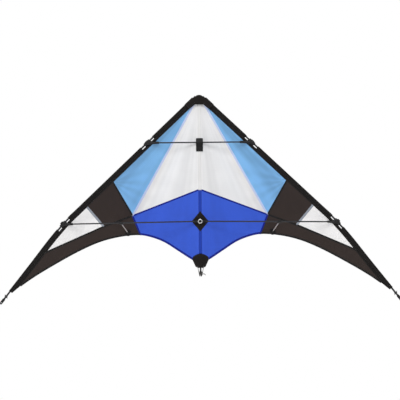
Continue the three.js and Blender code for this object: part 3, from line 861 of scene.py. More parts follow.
def cut_panel(piece, rests_on, *extras):
    """Finds the smallest rectangle that a sail panel fits in, and keeps nothing."""
    points = np.array([v.co for v in piece.data.vertices])
    flat = points[:, [0, 2]] - points[:, [0, 2]].mean(axis=0)
    sizes = []
    for turn in np.radians(np.arange(0, 90, 3)):
        way = np.array([[math.cos(turn), -math.sin(turn)], [math.sin(turn), math.cos(turn)]])
        sizes.append(np.ptp(flat @ way, axis=0))
    width, length = sorted(min(sizes, key=lambda size: size[0] * size[1]))


# ---------------------------------------------------------------- sail
SPINE_SIDE = 4.0
SEAM_TOP, SEAM_APEX = (12.3, 357.0), (SPINE_SIDE, APEX_Z)
TOE = inner_edge(TOE_Z, TOE_Z - 1, 2)[0]
TIP_Z, TIP_X = -189.0, 540.0
NOSE_LAP = 364.0                    # the white cloth and the pocket run on under the nose webbing


def panel_edges():
    """Each panel's two edges, in x and z."""
    toe_tip = np.array(TOE) * 0.99 + np.array(WINDOW_HEEL) * 0.01
    upper = chained(straight(CROSS, WINDOW_HEEL, 24), straight(WINDOW_HEEL, TOE, 38),
                    inner_edge(TOE_Z, TIP_Z, 33))
    lower = chained(trailing(HEEL[0], 262, 24), trailing(262, 430, 38), trailing(430, TIP_X, 33))
    return {
        "white": (chained(straight((SPINE_SIDE, NOSE_LAP), (SPINE_SIDE, SAIL_TOP), 6),
                          straight((SPINE_SIDE, SAIL_TOP), SEAM_APEX, 90)),
                  chained(straight(inner_edge(NOSE_LAP, 350, 2)[0], SEAM_TOP, 6),
                          straight(SEAM_TOP, CROSS, 90))),
        "pale_blue": (straight(SEAM_TOP, CROSS, 90), inner_edge(SEAM_TOP[1], SHOULDER_Z, 90)),
        "royal": (straight(SEAM_APEX, CROSS, 56), trailing(SPINE_SIDE, HEEL[0], 56)),
        "dark_upper": (inner_edge(SHOULDER_Z, WINDOW_Z, 30), straight(CROSS, WINDOW_HEEL, 30)),
        "window": (inner_edge(WINDOW_Z, TOE_Z, 50), straight(WINDOW_HEEL, toe_tip, 50)),
        "dark_lower": (upper, lower),
    }


# panel: look, slot, turn of the cloth's grain, node beside the spine that it reaches
PANELS = {
    "white": ("white", "white_sail", 0.0, "upper_spine_pocket"),
    "pale_blue": ("pale_blue", "pale_blue_sail", 0.75, None),
    "royal": ("royal", "royal_sail", 0.0, "middle_spine_pocket"),
    "dark_upper": ("dark", "dark_sail", 0.75, None),
    "window": ("window", "window_sail", 0.75, None),
    "dark_lower": ("dark", "dark_sail", 0.55, None),
}

# kind of tape: look, slot, thread
TAPE_KINDS = {
    "pale": ("pale_tape", "pale_blue_sail", "pale_thread"),
    "navy": ("navy_tape", "royal_sail", "navy_thread"),
    "black": ("black_tape", "dark_sail", "dark_thread"),
    "grey": ("grey_tape", "window_sail", "dark_thread"),
}

# tape: line, width, kind, panel that it belongs to
TAPES = {
    "pale_seam": (straight(SEAM_TOP, CROSS, 2), 6.0, "pale", "pale_blue"),
    "royal_seam": (straight((SPINE_SIDE + 1, APEX_Z), CROSS, 2), 5.0, "navy", "royal"),
    "heel_seam": (straight(CROSS, HEEL, 2), 5.0, "navy", "royal"),
    "shoulder_seam": (straight(CROSS, inner_edge(SHOULDER_Z, 100, 2)[0], 2), 6.0, "black",
                      "dark_upper"),
    "wing_seam": (straight(CROSS, WINDOW_HEEL, 2), 6.0, "black", "dark_lower"),
    "window_seam": (straight(inner_edge(WINDOW_Z, 0, 2)[0], WINDOW_HEEL, 2), 7.0, "grey",
                    "window"),
    "toe_seam": (straight(WINDOW_HEEL, TOE, 2), 6.0, "black", "dark_lower"),
    "royal_hem": (beside(trailing(SPINE_SIDE + 1, HEEL[0], 60), 2.8), 6.5, "navy", "royal"),
    "dark_hem": (beside(trailing(HEEL[0], TIP_X, 90), 2.6), 6.0, "black", "dark_lower"),
}
TAPE_THICKNESS = 1.1


def make_sail(side_name, side):
    """One half of the sail: its panels, and the seam tapes and hems with their stitches."""
    body = f"{side_name}_wing"
    edges = panel_edges()
    extras = {panel: [] for panel in PANELS}
    for name, (line, width, kind, panel) in TAPES.items():
        look, slot, thread = TAPE_KINDS[kind]
        turn = side if name in ("royal_seam", "royal_hem") else None
        tape = ribbon(f"{name}_{side_name}", side, line, width, TAPE_THICKNESS)
        extras[panel].append(fitted(tape, look, slot, body, side=turn))
        rows = [on_sail(side, beside(line, offset * width), face * (TAPE_THICKNESS / 2 + 0.1))
                for offset in (-0.28, 0.28) for face in (-1, 1)]
        extras[panel].append(
            stitched(f"{name}_stitches_{side_name}", rows, thread, slot, body, turn))
    for name, (look, slot, grain, at_spine) in PANELS.items():
        cloth = sail_sheet(f"{name}_cloth_{side_name}", side, *edges[name], grain=grain)
        fitted(cloth, look, slot, body, [f"{name}_panel_{side_name}"], side if at_spine else None)
        cut_panel(cloth, at_spine or f"leading_edge_sleeve_{side_name}", *extras[name])


# The sleeve's section, as inset and depth: its band's front and back, outside and inside, and the
# flat band alone, which is all that is left of it at the cut-outs.
SLEEVE_OUTSIDE, SLEEVE_INSIDE = 4.15, 3.6
BAND_FRONT = [(18.2, 8.2), (16.4, 8.12), (14.6, 8.15), (12.6, 8.35), (10.9, 8.45), (9.7, 7.6),
              (8.75, 5.9)]
BAND_BACK = [(6.0, 9.3), (8.6, 9.4), (11.0, 9.42), (13.2, 9.7), (15.0, 9.85), (16.8, 9.95),
             (18.2, 9.9), (18.4, 9.1)]
INSIDE_FRONT = [(9.0, 8.5)] * 4 + [(8.9, 8.3), (8.5, 7.4), (7.9, 6.0)]
INSIDE_BACK = [(5.4, 8.8), (7.4, 8.85), (8.6, 8.87), (9.0, 8.87)] + [(9.1, 8.8)] * 3 + [(9.1, 8.7)]
GAP_BAND = [(18.2, 8.2), (14.6, 8.15), (12.4, 8.35), (9.1, 8.62), (8.95, 9.0), (9.1, 9.38),
            (12.4, 9.6), (15.0, 9.85), (18.2, 9.9), (18.4, 9.1)]
TAPER_LENGTH, TAPER_INSET, TAPER_SHARE = 34.0, 8.4, 0.3
SLEEVE_STITCHES = ((11.0, 8.3), (16.8, 8.02), (16.8, 10.05))


def wrapped(front, radius, back):
    """A section that goes round the rod between the band's front and its back."""
    turn = np.radians(np.linspace(-25, -270, 26))
    return [*front, *[(ROD_INSET + radius * math.cos(a), FRAME_Y + radius * math.sin(a))
                      for a in turn], *back]


def sleeve_line(side, at, inset, y):
    """A line along the sleeve, whose flat band narrows near the tip and follows the sail."""
    share = np.interp(at, (SLEEVE_END - TAPER_LENGTH, SLEEVE_END), (1.0, TAPER_SHARE))
    place = TAPER_INSET + (inset - TAPER_INSET) * share if inset > TAPER_INSET else inset
    if inset > 12:
        y = y + sail_y(*edge_at(at, place).T, 1) - EDGE_SAIL_FRONT
    return along_edge(side, at, place, y)


def sleeve_length(section, start, end, across, hole=()):
    """One length of the sleeve, with the small puckers of its seam."""
    at = np.linspace(start, end, max(3, int((end - start) / 4)))
    pucker = 0.16 * np.sin(at / 2.9 + np.sin(at / 17)) + 0.1 * np.sin(at / 7.3)
    pucker[[0, -1]] = 0

    def placed(loop):
        return np.stack([sleeve_line(1, at, inset, y + pucker * (0.6 if inset > 9 else 0.35))
                         for inset, y in loop], axis=1)

    return swept("length", placed(section), flat_grid(at, across), placed(hole) if hole else None)


def make_sleeve():
    """Cloth folded round the leading edge, in three lengths, with its flat band left at the gaps."""
    outer = wrapped(BAND_FRONT, SLEEVE_OUTSIDE, BAND_BACK)
    inner = wrapped(INSIDE_FRONT, SLEEVE_INSIDE, INSIDE_BACK)
    gaps = [(joint - CUTOUT_HALF, joint + CUTOUT_HALF) for joint in (UPPER_JOINT, LOWER_JOINT)]
    ends = [SLEEVE_START, *gaps[0], *gaps[1], SLEEVE_END]

    def whole(name):
        parts = [sleeve_length(outer, a, b, lengths(outer), inner)
                 for a, b in zip(ends[::2], ends[1::2])]
        parts += [sleeve_length(GAP_BAND, a - 2, b + 2, np.arange(len(GAP_BAND)) * 2.4)
                  for a, b in gaps]
        return gathered(name, parts)

    sleeves = pair("sleeve_cloth", whole)
    at = np.linspace(SLEEVE_START + 2, SLEEVE_END - 2, 330)
    for side_name, side in SIDES:
        body = f"{side_name}_wing"
        rows = [sleeve_line(side, at, inset, y) for inset, y in SLEEVE_STITCHES]
        stitches = stitched(f"sleeve_stitches_{side_name}", rows, "dark_thread", "sleeve_webbing",
                            body)
        cloth = fitted(sleeves[side_name], "sleeve", "sleeve_webbing", body,
                       [f"leading_edge_sleeve_{side_name}"])
        strip_of_cloth(cloth, SLEEVE_END - SLEEVE_START, f"upper_leading_edge_{side_name}",
                       stitches)


# ---------------------------------------------------------------- rods
def make_rods():
    """Leading edges with their hidden ferrules, the spine and the spreaders."""
    joint, half_ferrule, gap = LOWER_JOINT - 44, 20, 0.3
    for node, start, end in (
            ("upper_leading_edge", 4, joint - half_ferrule - gap),
            ("rod_ferrule", joint - half_ferrule, joint + half_ferrule),
            ("lower_leading_edge", joint + half_ferrule + gap, SLEEVE_END + 36)):
        at = np.linspace(start, end, max(2, int((end - start) / 6)))
        path = along_edge(1, at, ROD_INSET, FRAME_Y)
        fit_pair(pair(f"{node}_rod", lambda name, path=path: tube(
            name, path, EDGE_ROD_RADIUS, around=32, ends=0.8)), "rod", "rod", node)

    spine = tube("spine_rod", straight((0, SPINE_Y, SPINE_LOW), (0, SPINE_Y, SPINE_HIGH), 60),
                 SPINE_RADIUS, around=32, ends=0.8)
    fitted(spine, "rod", "rod", ROOT, ["spine"])
    low_end = (LOWER_END_X, FRAME_Y, -LOWER_DROP * (LOWER_END_X - LOWER_START_X))
    lower = pair("lower_spreader_rod", lambda name: tube(
        name, straight((LOWER_START_X, FRAME_Y, 0), low_end, 60), SPREADER_RADIUS, around=32,
        ends=0.6))
    for side_name, _ in SIDES:
        fitted(lower[side_name], "rod", "rod", ROOT, [f"lower_spreader_{side_name}"])
    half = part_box("upper_spreader")[1].x / MM
    line = straight((-half, FRAME_Y, UPPER_Z), (half, FRAME_Y, UPPER_Z), 40)
    upper = tube("upper_spreader_rod", line, SPREADER_RADIUS, around=32, ends=0.6)
    fitted(upper, "rod", "rod", ROOT, ["upper_spreader"])


# ---------------------------------------------------------------- moulded fittings
def mouth(start, way, hole, wall, depth=4.0, lip=0.5):
    """An open tube end with a rounded lip, its mouth at start."""
    out = hole + wall
    return outlined("mouth", [
        (0, hole + 0.15), (0, out - lip), (lip * 0.3, out - lip * 0.3), (lip, out),
        (depth, out), (depth, hole), (0.8, hole)], start, way)


def edge_frame(distance):
    """A place on the leading edge's rod, the way along it, and the way outwards from the sail."""
    centre, ahead = along_edge(1, [distance, distance + 0.5], ROD_INSET, FRAME_Y)
    outside = along_edge(1, [distance], ROD_INSET - 1, FRAME_Y)[0]
    return centre, unit(ahead - centre), unit(outside - centre)


def connector(name, distance, socket_x, height, bump):
    """A hose on the leading edge with a socket for a spreader's end, at socket_x and height."""
    centre, way, out = edge_frame(distance)
    entry = np.array([socket_x, FRAME_Y, height])
    inward = unit(centre - entry)
    waist = entry + (centre - entry) * 0.4
    body = fused([
        tube("hose", straight(centre - way * 9.6, centre + way * 9.6, 9), 5.5, ends=0.8),
        tube("socket", straight(entry + inward * 2, centre, 9), np.linspace(3.5, 5.2, 9)),
        tube("upper_web", straight(waist, centre - way * 6.5, 7), 3.2),
        tube("lower_web", straight(waist, centre + way * 6.5, 7), 3.2),
        tube("boss", straight(centre + out * 1, centre + out * bump, 5), 5.2, 4, 0.8),
        tube("front_boss", straight(centre, centre + (0, -5.6, 0), 4), 3.6, ends=0.6)])
    return gathered(name, [body, mouth(centre - way * 11, way, 2.9, 2.2),
                           mouth(centre + way * 11, -way, 2.9, 2.2),
                           mouth(entry, inward, 2.1, 1.3)])


# fitting: its node, and its place on the edge, its socket's end in x and z, and its boss's reach
EDGE_FITTINGS = {
    "upper_edge_fitting": ("upper_connector", (UPPER_JOINT, 121.0, UPPER_Z, 6.4)),
    "lower_edge_fitting": ("lower_connector", (LOWER_JOINT, 382.0, -4.7, 8.4)),
}


def make_connectors():
    """Soft fittings that hold the spreaders' ends to the leading edges."""
    for name, (node, place) in EDGE_FITTINGS.items():
        made = pair(name, lambda name, place=place: connector(name, *place))
        fit_pair(made, "vinyl", "vinyl", node)


def make_tee():
    """The fitting that holds the lower spreaders to the spine, with a plain ring on its face."""
    arm, low = TEE_REACH, TEE_HALF - 0.6
    profile = np.array([3.7, 3.75, 3.9, 4.1, 4.6, 5.0, 4.6, 4.1, 3.9, 3.75, 3.7])
    parts = [
        tube("saddle", straight((0, SPINE_Y, -low), (0, SPINE_Y, low), 9), 4.3, ends=0.6),
        tube("arms", straight((1.5 - arm, FRAME_Y, 0), (arm - 1.5, FRAME_Y, 0), 11), profile),
        tube("boss", straight((0, 1.05, 0), (0, 9, 0), 6), 7.4, ends=0.4, around=48),
        tube("neck", straight((0, 7, 0), (0, SPINE_Y, 0), 6), 4.4)]
    parts += [tube("web", straight((x * 10.5, FRAME_Y, 0), (x * 2, FRAME_Y + 4, z * 6.4), 6), 1.7)
              for z in (-1, 1) for x in (-1, 1)]
    ends = [mouth((x * arm, FRAME_Y, 0), (-x, 0, 0), 2.1, 1.7) for x in (-1, 1)]
    ends += [mouth((0, SPINE_Y, z * TEE_HALF), (0, 0, -z), 2.65, 1.7) for z in (-1, 1)]
    front = (0, 0, 0), (0, 1, 0)
    button = turned("button", [(0, 3.45), (0.08, 3.7), (0.35, 3.9), (1.6, 3.9)], *front)
    tee = gathered("centre_fitting", [fused(parts), *ends, button])
    fitted(tee, "vinyl", "vinyl", ROOT, ["centre_tee"])
    ring = outlined("centre_ring", [(0.1, 4.7), (0.1, 6.2), (0.25, 6.6), (0.5, 6.8), (0.72, 6.8),
                                    (0.72, 4.2), (0.4, 4.25), (0.2, 4.4)], *front)
    fitted(ring, "metal", "eyelet", ROOT, ["tee_eyelet"])


def tip_cap(name):
    """A cap on the leading edge's end, with a slot across it for a line."""
    centre, way, _ = edge_frame(SLEEVE_END + 28)
    shape = turned(name, [(0, 3.0), (0.15, 3.6), (0.9, 4.15), (2.2, 4.25), (13, 4.2), (17, 3.95),
                          (19, 3.2), (20, 1.9), (20.2, 0.4)], centre, way)
    holes = [centre + way * along for along in (14.5, 15.9)]
    return carved(shape, *[tube("hole", straight(hole - (0, 8, 0), hole + (0, 8, 0), 2), 1.0)
                           for hole in holes])


def tip_knot(name):
    """Three turns of cord round the tip, a knot in front of them and two loose ends."""
    centre, way, out = edge_frame(SLEEVE_END + 19)
    front = np.array([0, -1.0, 0])
    turn = np.linspace(0, WHOLE_TURN, 25)
    parts = []
    for shift, lean in ((-1.7, 0.5), (0, -0.4), (1.6, 0.3)):
        loop = [centre + way * (shift + lean * math.sin(a)) + out * 3.7 * math.cos(a)
                + front * 3.7 * math.sin(a) for a in turn]
        parts.append(tube("wind", loop, 0.95, around=12))
    heart = centre + front * 4.6
    for a, b in (((-2.6, -1.6), (2.6, 1.5)), ((-2.4, 1.7), (2.5, -1.6)), ((0, -2.4), (0.2, 2.4))):
        ends = [heart + out * p + way * q for p, q in (a, b)]
        parts.append(tube("cross", straight(*ends, 5), 1.1, ends=0.8, around=14))
    for p, q in ((6.8, -3.4), (-7.2, 2.6)):
        bend = smooth_line([heart, heart + out * p * 0.5 + way * q * 0.2 + front * 0.5,
                            heart + out * p + way * q], 8)
        parts.append(tube("tag", bend, 0.78, ends=0.4, around=12))
    return gathered(name, parts)


def make_wing_tips():
    fit_pair(pair("tip_nock", tip_cap), "vinyl", "vinyl", "tip_cap")
    fit_pair(pair("tip_knot", tip_knot), "dark_cord", "dark_cord", "tip_cord")


def make_standoffs():
    """Thin rods from the lower spreaders to the sail, with their clips, caps and patches."""
    start = np.array([STANDOFF_CLIP_X, FRAME_Y, -LOWER_DROP * (STANDOFF_CLIP_X - LOWER_START_X)])
    foot = np.array([FOOT[0], float(sail_y(*FOOT, 1)) - 2.4, FOOT[1]])
    way, along = unit(foot - start), np.array([1.0, 0, -LOWER_DROP])
    cap_start = foot - way * 12

    def clip(name):
        body = fused([
            tube("grip", straight(start - along * 5.2, start + along * 5.2, 5), 3.75, ends=0.5),
            tube("stub", straight(start, start + way * 12.5, 6), np.linspace(3.6, 2.9, 6))], 0.38)
        ends = [mouth(start + along * 6 * s, -along * s, 2.1, 1.6) for s in (-1, 1)]
        return gathered(name, [body, *ends, mouth(start + way * 14, -way, 1.6, 1.4, depth=3)])

    def cap(name):
        return gathered(name, [
            tube("cap", straight(cap_start, foot, 8), 2.6, ends=1.5, around=32),
            outlined("bead", [(0, 2.4), (0.5, 3.0), (1.1, 3.0), (1.6, 2.4)], cap_start, way)])

    def rod(name):
        return tube(name, straight(start + way * 5.4, foot - way * 5, 24), STANDOFF_RADIUS,
                    ends=0.5)

    for node, name, make, look in (("standoff_clip", "standoff_fitting", clip, "vinyl"),
                                   ("standoff", "standoff_rod", rod, "standoff_rod"),
                                   ("standoff_cap", "standoff_foot", cap, "vinyl")):
        fit_pair(pair(name, make), look, look, node, part="standoff")

    for side_name, side in SIDES:
        body = f"{side_name}_wing"
        patch = round_patch(f"standoff_patch_{side_name}", side, FOOT, PATCH_RADIUS)
        fitted(patch, "black_tape", "patch", body)
        ring = [(FOOT[0] + 8.2 * math.cos(a), FOOT[1] + 8.2 * math.sin(a))
                for a in np.linspace(0, WHOLE_TURN, 40)]
        stitches = patch_stitches(f"standoff_patch_stitches_{side_name}",
                                  [on_sail(side, ring, face, 1.5) for face in (0.75, -0.75)], body,
                                  spacing=2.8, length=2.0)


def round_patch(name, side, centre, radius):
    """A disc of webbing on both faces of the sail."""
    angle = np.linspace(0, WHOLE_TURN, 33)[:, None]
    out = np.linspace(0.02, radius, 6)[None]
    x, z = centre[0] + out * np.cos(angle), centre[1] + out * np.sin(angle)
    points = np.stack([side * x, sail_y(x, z, side) + CLOTH / 2, z], axis=2)
    return thick_sheet(name, points, np.stack([x, z], axis=2), 1.2)


PATCH_RADIUS = 10.0


# ---------------------------------------------------------------- spine cloth, patches and nose
def pocket(name, low, high, front, half=POCKET_HALF, wall=0.45):
    """A flat strip of cloth in front and a looser one round the spine behind it."""
    bow = np.radians(np.linspace(-8, 188, 15))
    radius, back, middle_y = 3.0 + wall / 2, 3.7, (front + SPINE_Y) / 2
    edge = [(half, front), (half + 0.1, front + 0.3), (half - 0.3, front + 0.62),
            (back, front + 1.3)]
    outer = np.array([(-half, front), (-half * 0.5, front - 0.08), (half * 0.5, front - 0.08), *edge]
                     + [(radius * math.cos(a), SPINE_Y + radius * math.sin(a)) for a in bow]
                     + [(-x, y) for x, y in edge[:0:-1]])
    inner = outer * (0.84, 0.88) + (0, middle_y * (1 - 0.88))
    z = np.linspace(high, low, max(4, int((high - low) / 4)))
    sway = 0.12 * np.sin(z / 9.0)[:, None] + 0.08 * np.sin(z / 3.7)[:, None]

    def placed(loop):
        soft = np.where(loop[:, 1] > front + 1, 1.0, 0.25)
        x, y = loop[:, 0] + sway * 0.3 * soft, loop[:, 1] + sway * soft
        return np.stack([x, y, np.repeat(z[:, None], len(loop), axis=1)], axis=2)

    return swept(name, placed(outer), flat_grid(z, lengths(outer)), placed(inner))


POCKET_FRONT = 9.72

# pocket: its lower and upper end, look, slot, thread
# The pockets' looks carry a painted shadow of the spine as well as the darker double cloth.
POCKETS = {
    "upper_spine_pocket": (APEX_Z, POCKET_TOP + 8, "white_pocket_spine_shadow", "white_sail", "pale_thread"),
    "middle_spine_pocket": (TEE_HALF + 0.3, APEX_Z, "royal_pocket_spine_shadow", "royal_sail", "navy_thread"),
    "lower_spine_pocket": (-97.7, -TEE_HALF - 0.3, "royal_pocket_spine_shadow", "royal_sail", "navy_thread"),
}


def make_pockets():
    """Three pockets that hold the spine behind the sail."""
    for node, (low, high, look, slot, thread) in POCKETS.items():
        cloth = pocket(f"{node}_cloth", low, high, POCKET_FRONT)
        rows = [straight((x, POCKET_FRONT - 0.02, low + 1), (x, POCKET_FRONT - 0.02, high - 1), 60)
                for x in (-3.6, 3.6)]
        stitches = stitched(f"{node}_stitches", rows, thread, slot, ROOT)
        fitted(cloth, look, slot, ROOT, [node])
        strip_of_cloth(cloth, high - low, "spine", stitches)


def make_centre_patch():
    """A diamond of webbing under the tee, one half on each wing, joined over the spine."""
    reach, height = 25.6, 30.6
    for side_name, side in SIDES:
        body = f"{side_name}_wing"
        top = np.array([(x, height * (1 - x / reach)) for x in np.linspace(0.0, reach - 0.4, 24)])
        half = sail_sheet(f"centre_diamond_{side_name}", side, top, top * (1, -1), thickness=0.7,
                          lift=1.0, step=1.6)
        fitted(half, "patch", "patch", body, [f"centre_patch_{side_name}"], side)
        edge = np.array([(0.6, height - 3.0), (reach - 2.6, 0.0), (0.6, 3.0 - height)])
        stitches = patch_stitches(f"centre_diamond_stitches_{side_name}",
                                  [on_sail(side, edge, 1.42, 1.5)], body, side)
        cut_panel(half, f"royal_panel_{side_name}", stitches)
    wide, length = 10.6, 48.0
    flat = np.stack(np.meshgrid(np.linspace(-wide / 2, wide / 2, 9),
                                np.linspace(length / 2, -length / 2, 30)), axis=2)
    x, z = flat[..., 0], flat[..., 1]
    points = np.stack([x, 8.72 - 0.12 * (1 - (2 * x / wide) ** 2), z], axis=2)
    band = thick_sheet("centre_diamond_band", points, flat, 0.4)
    fitted(band, "patch", "patch", ROOT, ["centre_patch_middle"])
    strip_of_cloth(band, length, "middle_spine_pocket")


def make_tail():
    """The black patch at the sail's lower point, its cord, and the nock on the spine."""
    lower = chained(smooth_line([(0, -138.6), (5.5, -140.2), (11, -138.4), (15.2, -136)], 6),
                    straight((15.2, -136), (24.2, -115.5), 13))
    upper = chained(smooth_line([(0, -97.0), (8, -98.4), (16, -102), (22.6, -106.5)], 6),
                    straight((22.6, -106.5), (24.4, -114.6), 13))
    for side_name, side in SIDES:
        body = f"{side_name}_wing"
        half = sail_sheet(f"tail_cloth_{side_name}", side, upper, lower, thickness=1.5, lift=0.4,
                          step=2.0)
        fitted(half, "patch", "patch", body, [f"tail_patch_{side_name}"], side)
        rows = [on_sail(side, beside(upper[1:], -2.2), 1.24, 1.5),
                on_sail(side, beside(lower[1:-4], 2.2), 1.24, 1.5)]
        stitches = patch_stitches(f"tail_stitches_{side_name}", rows, body, side)
        cut_panel(half, f"royal_panel_{side_name}", stitches)
    low, high = -139.4, -97.4
    band = pocket("tail_band", low, high, 8.8, half=4.6, wall=1.1)
    fitted(band, "patch", "patch", ROOT, ["tail_patch_middle"])
    strip_of_cloth(band, high - low, "spine")

    end = SPINE_LOW - 6
    nock = turned("tail_end_nock", [(0, 1.6), (0.3, 3.0), (1.4, 3.9), (2.6, 4.1), (13, 4.1),
                                    (15, 4.0), (15.8, 3.4), (16, 2.9)], (0, SPINE_Y, end), (0, 0, 1))
    carved(nock, slot_cutter((-0.9, SPINE_Y - 7, end - 1), (0.9, SPINE_Y + 7, end + 5), 0.3))
    fitted(nock, "vinyl", "vinyl", ROOT, ["tail_nock"])
    fitted(tail_knot("tail_knotted_cord"), "pale_cord", "pale_cord", ROOT, ["tail_cord"])


def tail_knot(name):
    """Two legs of cord from the tail patch to the nock, with a knot and two loose ends."""
    y = SPINE_Y - 5.2

    def cord(points, radius):
        return tube("cord", smooth_line(points, 8), radius, around=14, ends=0.4)

    parts = [cord([(side * 8.2, 9.2, -134), (side * 7.8, 8.4, -141), (side * 6.2, y, -150),
                   (side * 4.6, y + 1.5, -158), (side * 2.6, y + 4, -163.6),
                   (side * 0.4, SPINE_Y, -162.0)], 0.9) for side in (-1, 1)]
    wind = [(1.9 * math.cos(a) + 0.4, y - 0.2 + 0.9 * math.sin(a * 1.5), -156.8 + 2 * math.sin(a))
            for a in np.linspace(0, WHOLE_TURN * 1.9, 40)]
    parts.append(tube("knot", wind, 0.85, around=12, ends=0.4))
    parts.append(cord([(0.8, y - 0.4, -157), (5, y - 1.4, -158.8), (10, y - 1.6, -157.6),
                       (14.6, y - 1.2, -161.4)], 1.05))
    parts.append(cord([(0.6, y - 0.4, -157), (4, y - 1.8, -154.4), (7.4, y - 1.8, -153.4)], 0.8))
    return gathered(name, parts)


NOSE_ARM_END = 45.5
NOSE_SQUARENESS = 0.55
NOSE_MIDDLE_Y, NOSE_DEPTH, NOSE_BOW = 5.3, 5.35, 0.05


def nose_skin(side, at, angle, width, depth, least_x, below):
    """Rings of a squarish section round the sleeve, kept off the middle and under the top."""
    reach = np.interp(at, (0, NOSE_ARM_END), (11.6, 9.9))
    rings = []
    for c, s in zip(np.cos(angle), np.sin(angle)):
        inset = reach - 1.3 + np.sign(c) * abs(c) ** NOSE_SQUARENESS * reach * width
        y = NOSE_MIDDLE_Y + NOSE_DEPTH * np.sign(s) * abs(s) ** NOSE_SQUARENESS * depth
        x, y, z = along_edge(1, at, inset, y).T
        x = np.clip(x, least_x, None)
        top = 378.6 - NOSE_BOW * np.clip(x - 2, 0, 12) ** 2
        rings.append(np.stack([side * x, y, np.minimum(z, top - below)], axis=1))
    return np.stack(rings, axis=1)


def make_nose():
    """Webbing folded over the nose: an arm down each leading edge and a band over the spine."""
    at = np.linspace(-9.0, NOSE_ARM_END, 44)
    angle = np.linspace(0, WHOLE_TURN, 48, endpoint=False)
    for side_name, side in SIDES:
        body = f"{side_name}_wing"
        arm = swept(f"nose_arm_{side_name}", nose_skin(side, at, angle, 1.0, 1.0, 0.05, 0),
                    flat_grid(at, angle * 5), nose_skin(side, at, angle, 0.9, 0.88, 0.4, 0.9))
        fitted(arm, "patch", "patch", body, [f"nose_webbing_{side_name}"], side)
        run = np.linspace(14, NOSE_ARM_END - 2.5, 24)
        rows = [along_edge(side, run, inset, y)
                for inset, y in ((1.6, -0.15), (15.6, -0.05), (15.6, 10.7))]
        rows.append(along_edge(side, np.full(12, run[-1]), np.linspace(1.6, 16, 12), -0.12))
        stitches = patch_stitches(f"nose_stitches_{side_name}", rows, body, side)
        strip_of_cloth(arm, NOSE_ARM_END + 7, f"upper_leading_edge_{side_name}", stitches)

    path = smooth_line([(0.5, 351), (-0.3, 357), (-0.5, 364), (-0.5, 371), (0.9, 376.4),
                        (4.5, 378.8), (9, 379.3), (12.5, 378.8), (15.0, 376), (16.4, 370),
                        (17.5, 361), (18.0, 351)], 6)
    along = lengths(path)
    half = np.interp(np.minimum(along, along[-1] - along), (0, 0.6, 2.0, 4.5, 9.0, 17.0, 26.0),
                     (2.6, 6.2, 9.0, 11.4, 13.0, 11.5, 8.5))
    x = half[:, None] * np.linspace(0, 1, 12)
    y, z, along_band = (np.repeat(row[:, None], 12, axis=1) for row in (*path.T, along))
    z = z - NOSE_BOW * np.clip(x - 2, 0, None) ** 2
    flat = np.stack([along_band, x], axis=2)
    for side_name, side in SIDES:
        band = thick_sheet(f"nose_band_{side_name}", np.stack([side * x, y, z], axis=2), flat, 0.8)
        fitted(band, "patch", "patch", f"{side_name}_wing", ["nose_webbing_middle"], side)
        strip_of_cloth(band, along[-1], "spine")


def make_strap():
    """A hook-and-loop strap over the upper spreader; its flap lifts about its sewn top end."""
    z, corner = UPPER_Z, 3.2
    path = smooth_line([(8.6, STRAP_HIGH - 0.4), (6.2, z + 10.4), (2.9, z + 6.6), (2.15, z + 2.5),
                        (2.15, z - 2.5), (2.9, z - 6.6), (6.2, z - 10.9), (8.2, z - 14.6),
                        (8.45, z - 20), (8.45, STRAP_LOW)], 8)
    at = lengths(path)
    missing = np.clip(corner - np.minimum(at, at[-1] - at), 0, None)
    short = corner - np.sqrt(np.clip(corner**2 - missing**2, 0, None))
    half = STRAP_HALF - np.minimum(short, corner * 0.96)
    across = np.linspace(-1, 1, 25)
    points = np.array([[(h * t, y, z_at) for t in across] for h, (y, z_at) in zip(half, path)])
    flat = np.array([[(u, h * t) for t in across] for u, h in zip(at, half)])
    flap = thick_sheet("strap_webbing", points, flat, 0.9)
    fitted(flap, "strap", "strap", "spreader_strap", ["strap_flap"])

    under_pad = (at >= 2.2) & (at <= 14.5)
    pad = thick_sheet("strap_pad", points[under_pad][:, 2:-2] + (0, -0.75, -0.35),
                      flat[under_pad][:, 2:-2], 0.7)
    fitted(pad, "strap_pad", "strap", "spreader_strap")

    def box_of_stitches(low, high, wide, lift):
        corners = ((-wide, low, -wide, high), (wide, low, wide, high),
                   (-wide, low, wide, low), (-wide, high, wide, high))
        rows = []
        for x, u, x_end, u_end in corners:
            run = np.linspace(u, u_end, 12 if x == x_end else 10)
            rows.append(np.stack([np.linspace(x, x_end, len(run)),
                                  np.interp(run, at, path[:, 0]) - lift,
                                  np.interp(run, at, path[:, 1])], axis=1))
        return rows

    rows = (box_of_stitches(3.0, 13.6, 7.4, 1.25)
            + box_of_stitches(at[-1] - 11, at[-1] - 2.4, 8.4, 0.6))
    stitches = stitched("strap_stitches", rows, "dark_thread", "strap", "spreader_strap",
                        spacing=2.6, length=1.8)
    strip_of_cloth(flap, at[-1], "upper_spreader", stitches)

    top = UPPER_Z - 12
    base = np.array([[(x, 9.45, z_at) for x in np.linspace(-STRAP_HALF, STRAP_HALF, 15)]
                     for z_at in np.linspace(top, STRAP_LOW, 10)])
    backing = thick_sheet("strap_backing", base, base[..., [0, 2]], 0.5)
    fitted(backing, "strap_pad", "strap", ROOT, ["strap_base"])
    strip_of_cloth(backing, top - STRAP_LOW, "upper_spine_pocket")


for each_side in SIDES:
    make_sail(*each_side)
make_sleeve()
make_rods()
make_connectors()
make_tee()
make_wing_tips()
make_standoffs()
make_pockets()
make_centre_patch()
make_tail()
make_nose()
make_strap()


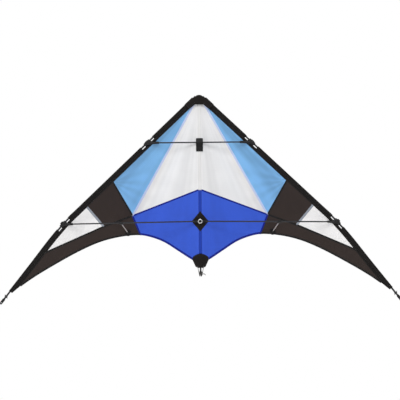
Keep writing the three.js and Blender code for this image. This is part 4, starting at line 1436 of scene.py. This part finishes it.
# ---------------------------------------------------------------- floor, light and camera
def make_floor():
    """A wide pale floor far below the kite."""
    angle = np.linspace(0, WHOLE_TURN, 96, endpoint=False)
    rim = [(4000 * math.cos(a), 4000 * math.sin(a), -1000) for a in angle]
    floor = mesh_piece("studio_floor", rim, [tuple(range(96))], smooth=False)
    look = Look("studio_floor", Roughness=0.9)
    tone = look.noise(look.place(), 1.5, 2.0)
    look.dye(tone, (0.88, 0.88, 0.88), (0.91, 0.91, 0.91))
    floor.data.materials.append(look.material)


def make_light(name, place, aim, size, power):
    """A round area lamp that the camera doesn't see."""
    lamp = bpy.data.lights.new(name, "AREA")
    lamp.shape, lamp.size, lamp.energy = "DISK", size, power
    light = added(name, lamp)
    light.location = place
    light.rotation_euler = (Vector(aim) - Vector(place)).to_track_quat("-Z", "Y").to_euler()
    light.visible_camera = False


def make_studio():
    """A white backdrop, a key light in front and softer lights beside and behind."""
    world = bpy.data.worlds.new("studio")
    world.use_nodes = True
    tree = world.node_tree
    rays, strength = tree.nodes.new("ShaderNodeLightPath"), tree.nodes.new("ShaderNodeMapRange")
    strength.inputs["To Min"].default_value, strength.inputs["To Max"].default_value = 0.53, 1.0
    backdrop = tree.nodes["Background"]
    backdrop.inputs["Color"].default_value = (1, 1, 1, 1)
    tree.links.new(rays.outputs["Is Camera Ray"], strength.inputs["Value"])
    tree.links.new(strength.outputs["Result"], backdrop.inputs["Strength"])
    bpy.context.scene.world = world
    bpy.context.scene.view_settings.view_transform = "Standard"
    make_light("key", (-0.2, -3.6, 2.4), (0, 0, 0.05), 1.6, 85)
    make_light("left_fill", (-2.8, -2.2, 0.8), (0, 0, 0.05), 1.6, 17)
    make_light("right_fill", (2.8, -2.2, 0.8), (0, 0, 0.05), 1.6, 14)
    make_light("back_fill", (1.2, 3.8, 2.2), (0, 0, 0.05), 2.0, 95)


def make_camera():
    """A far camera in front of the kite, rolled a little."""
    away, aim_z, roll = 8.0, 0.064, math.radians(0.55)
    lens = bpy.data.cameras.new("camera")
    lens.lens, lens.sensor_width = 240.0, 36.0
    camera = added("camera", lens)
    camera.location = (0, -away, aim_z)
    level = Matrix.Rotation(math.pi / 2, 4, "X")
    camera.rotation_euler = (Matrix.Rotation(roll, 4, "Y") @ level).to_euler()
    bpy.context.scene.camera = camera


make_floor()
make_studio()
make_camera()
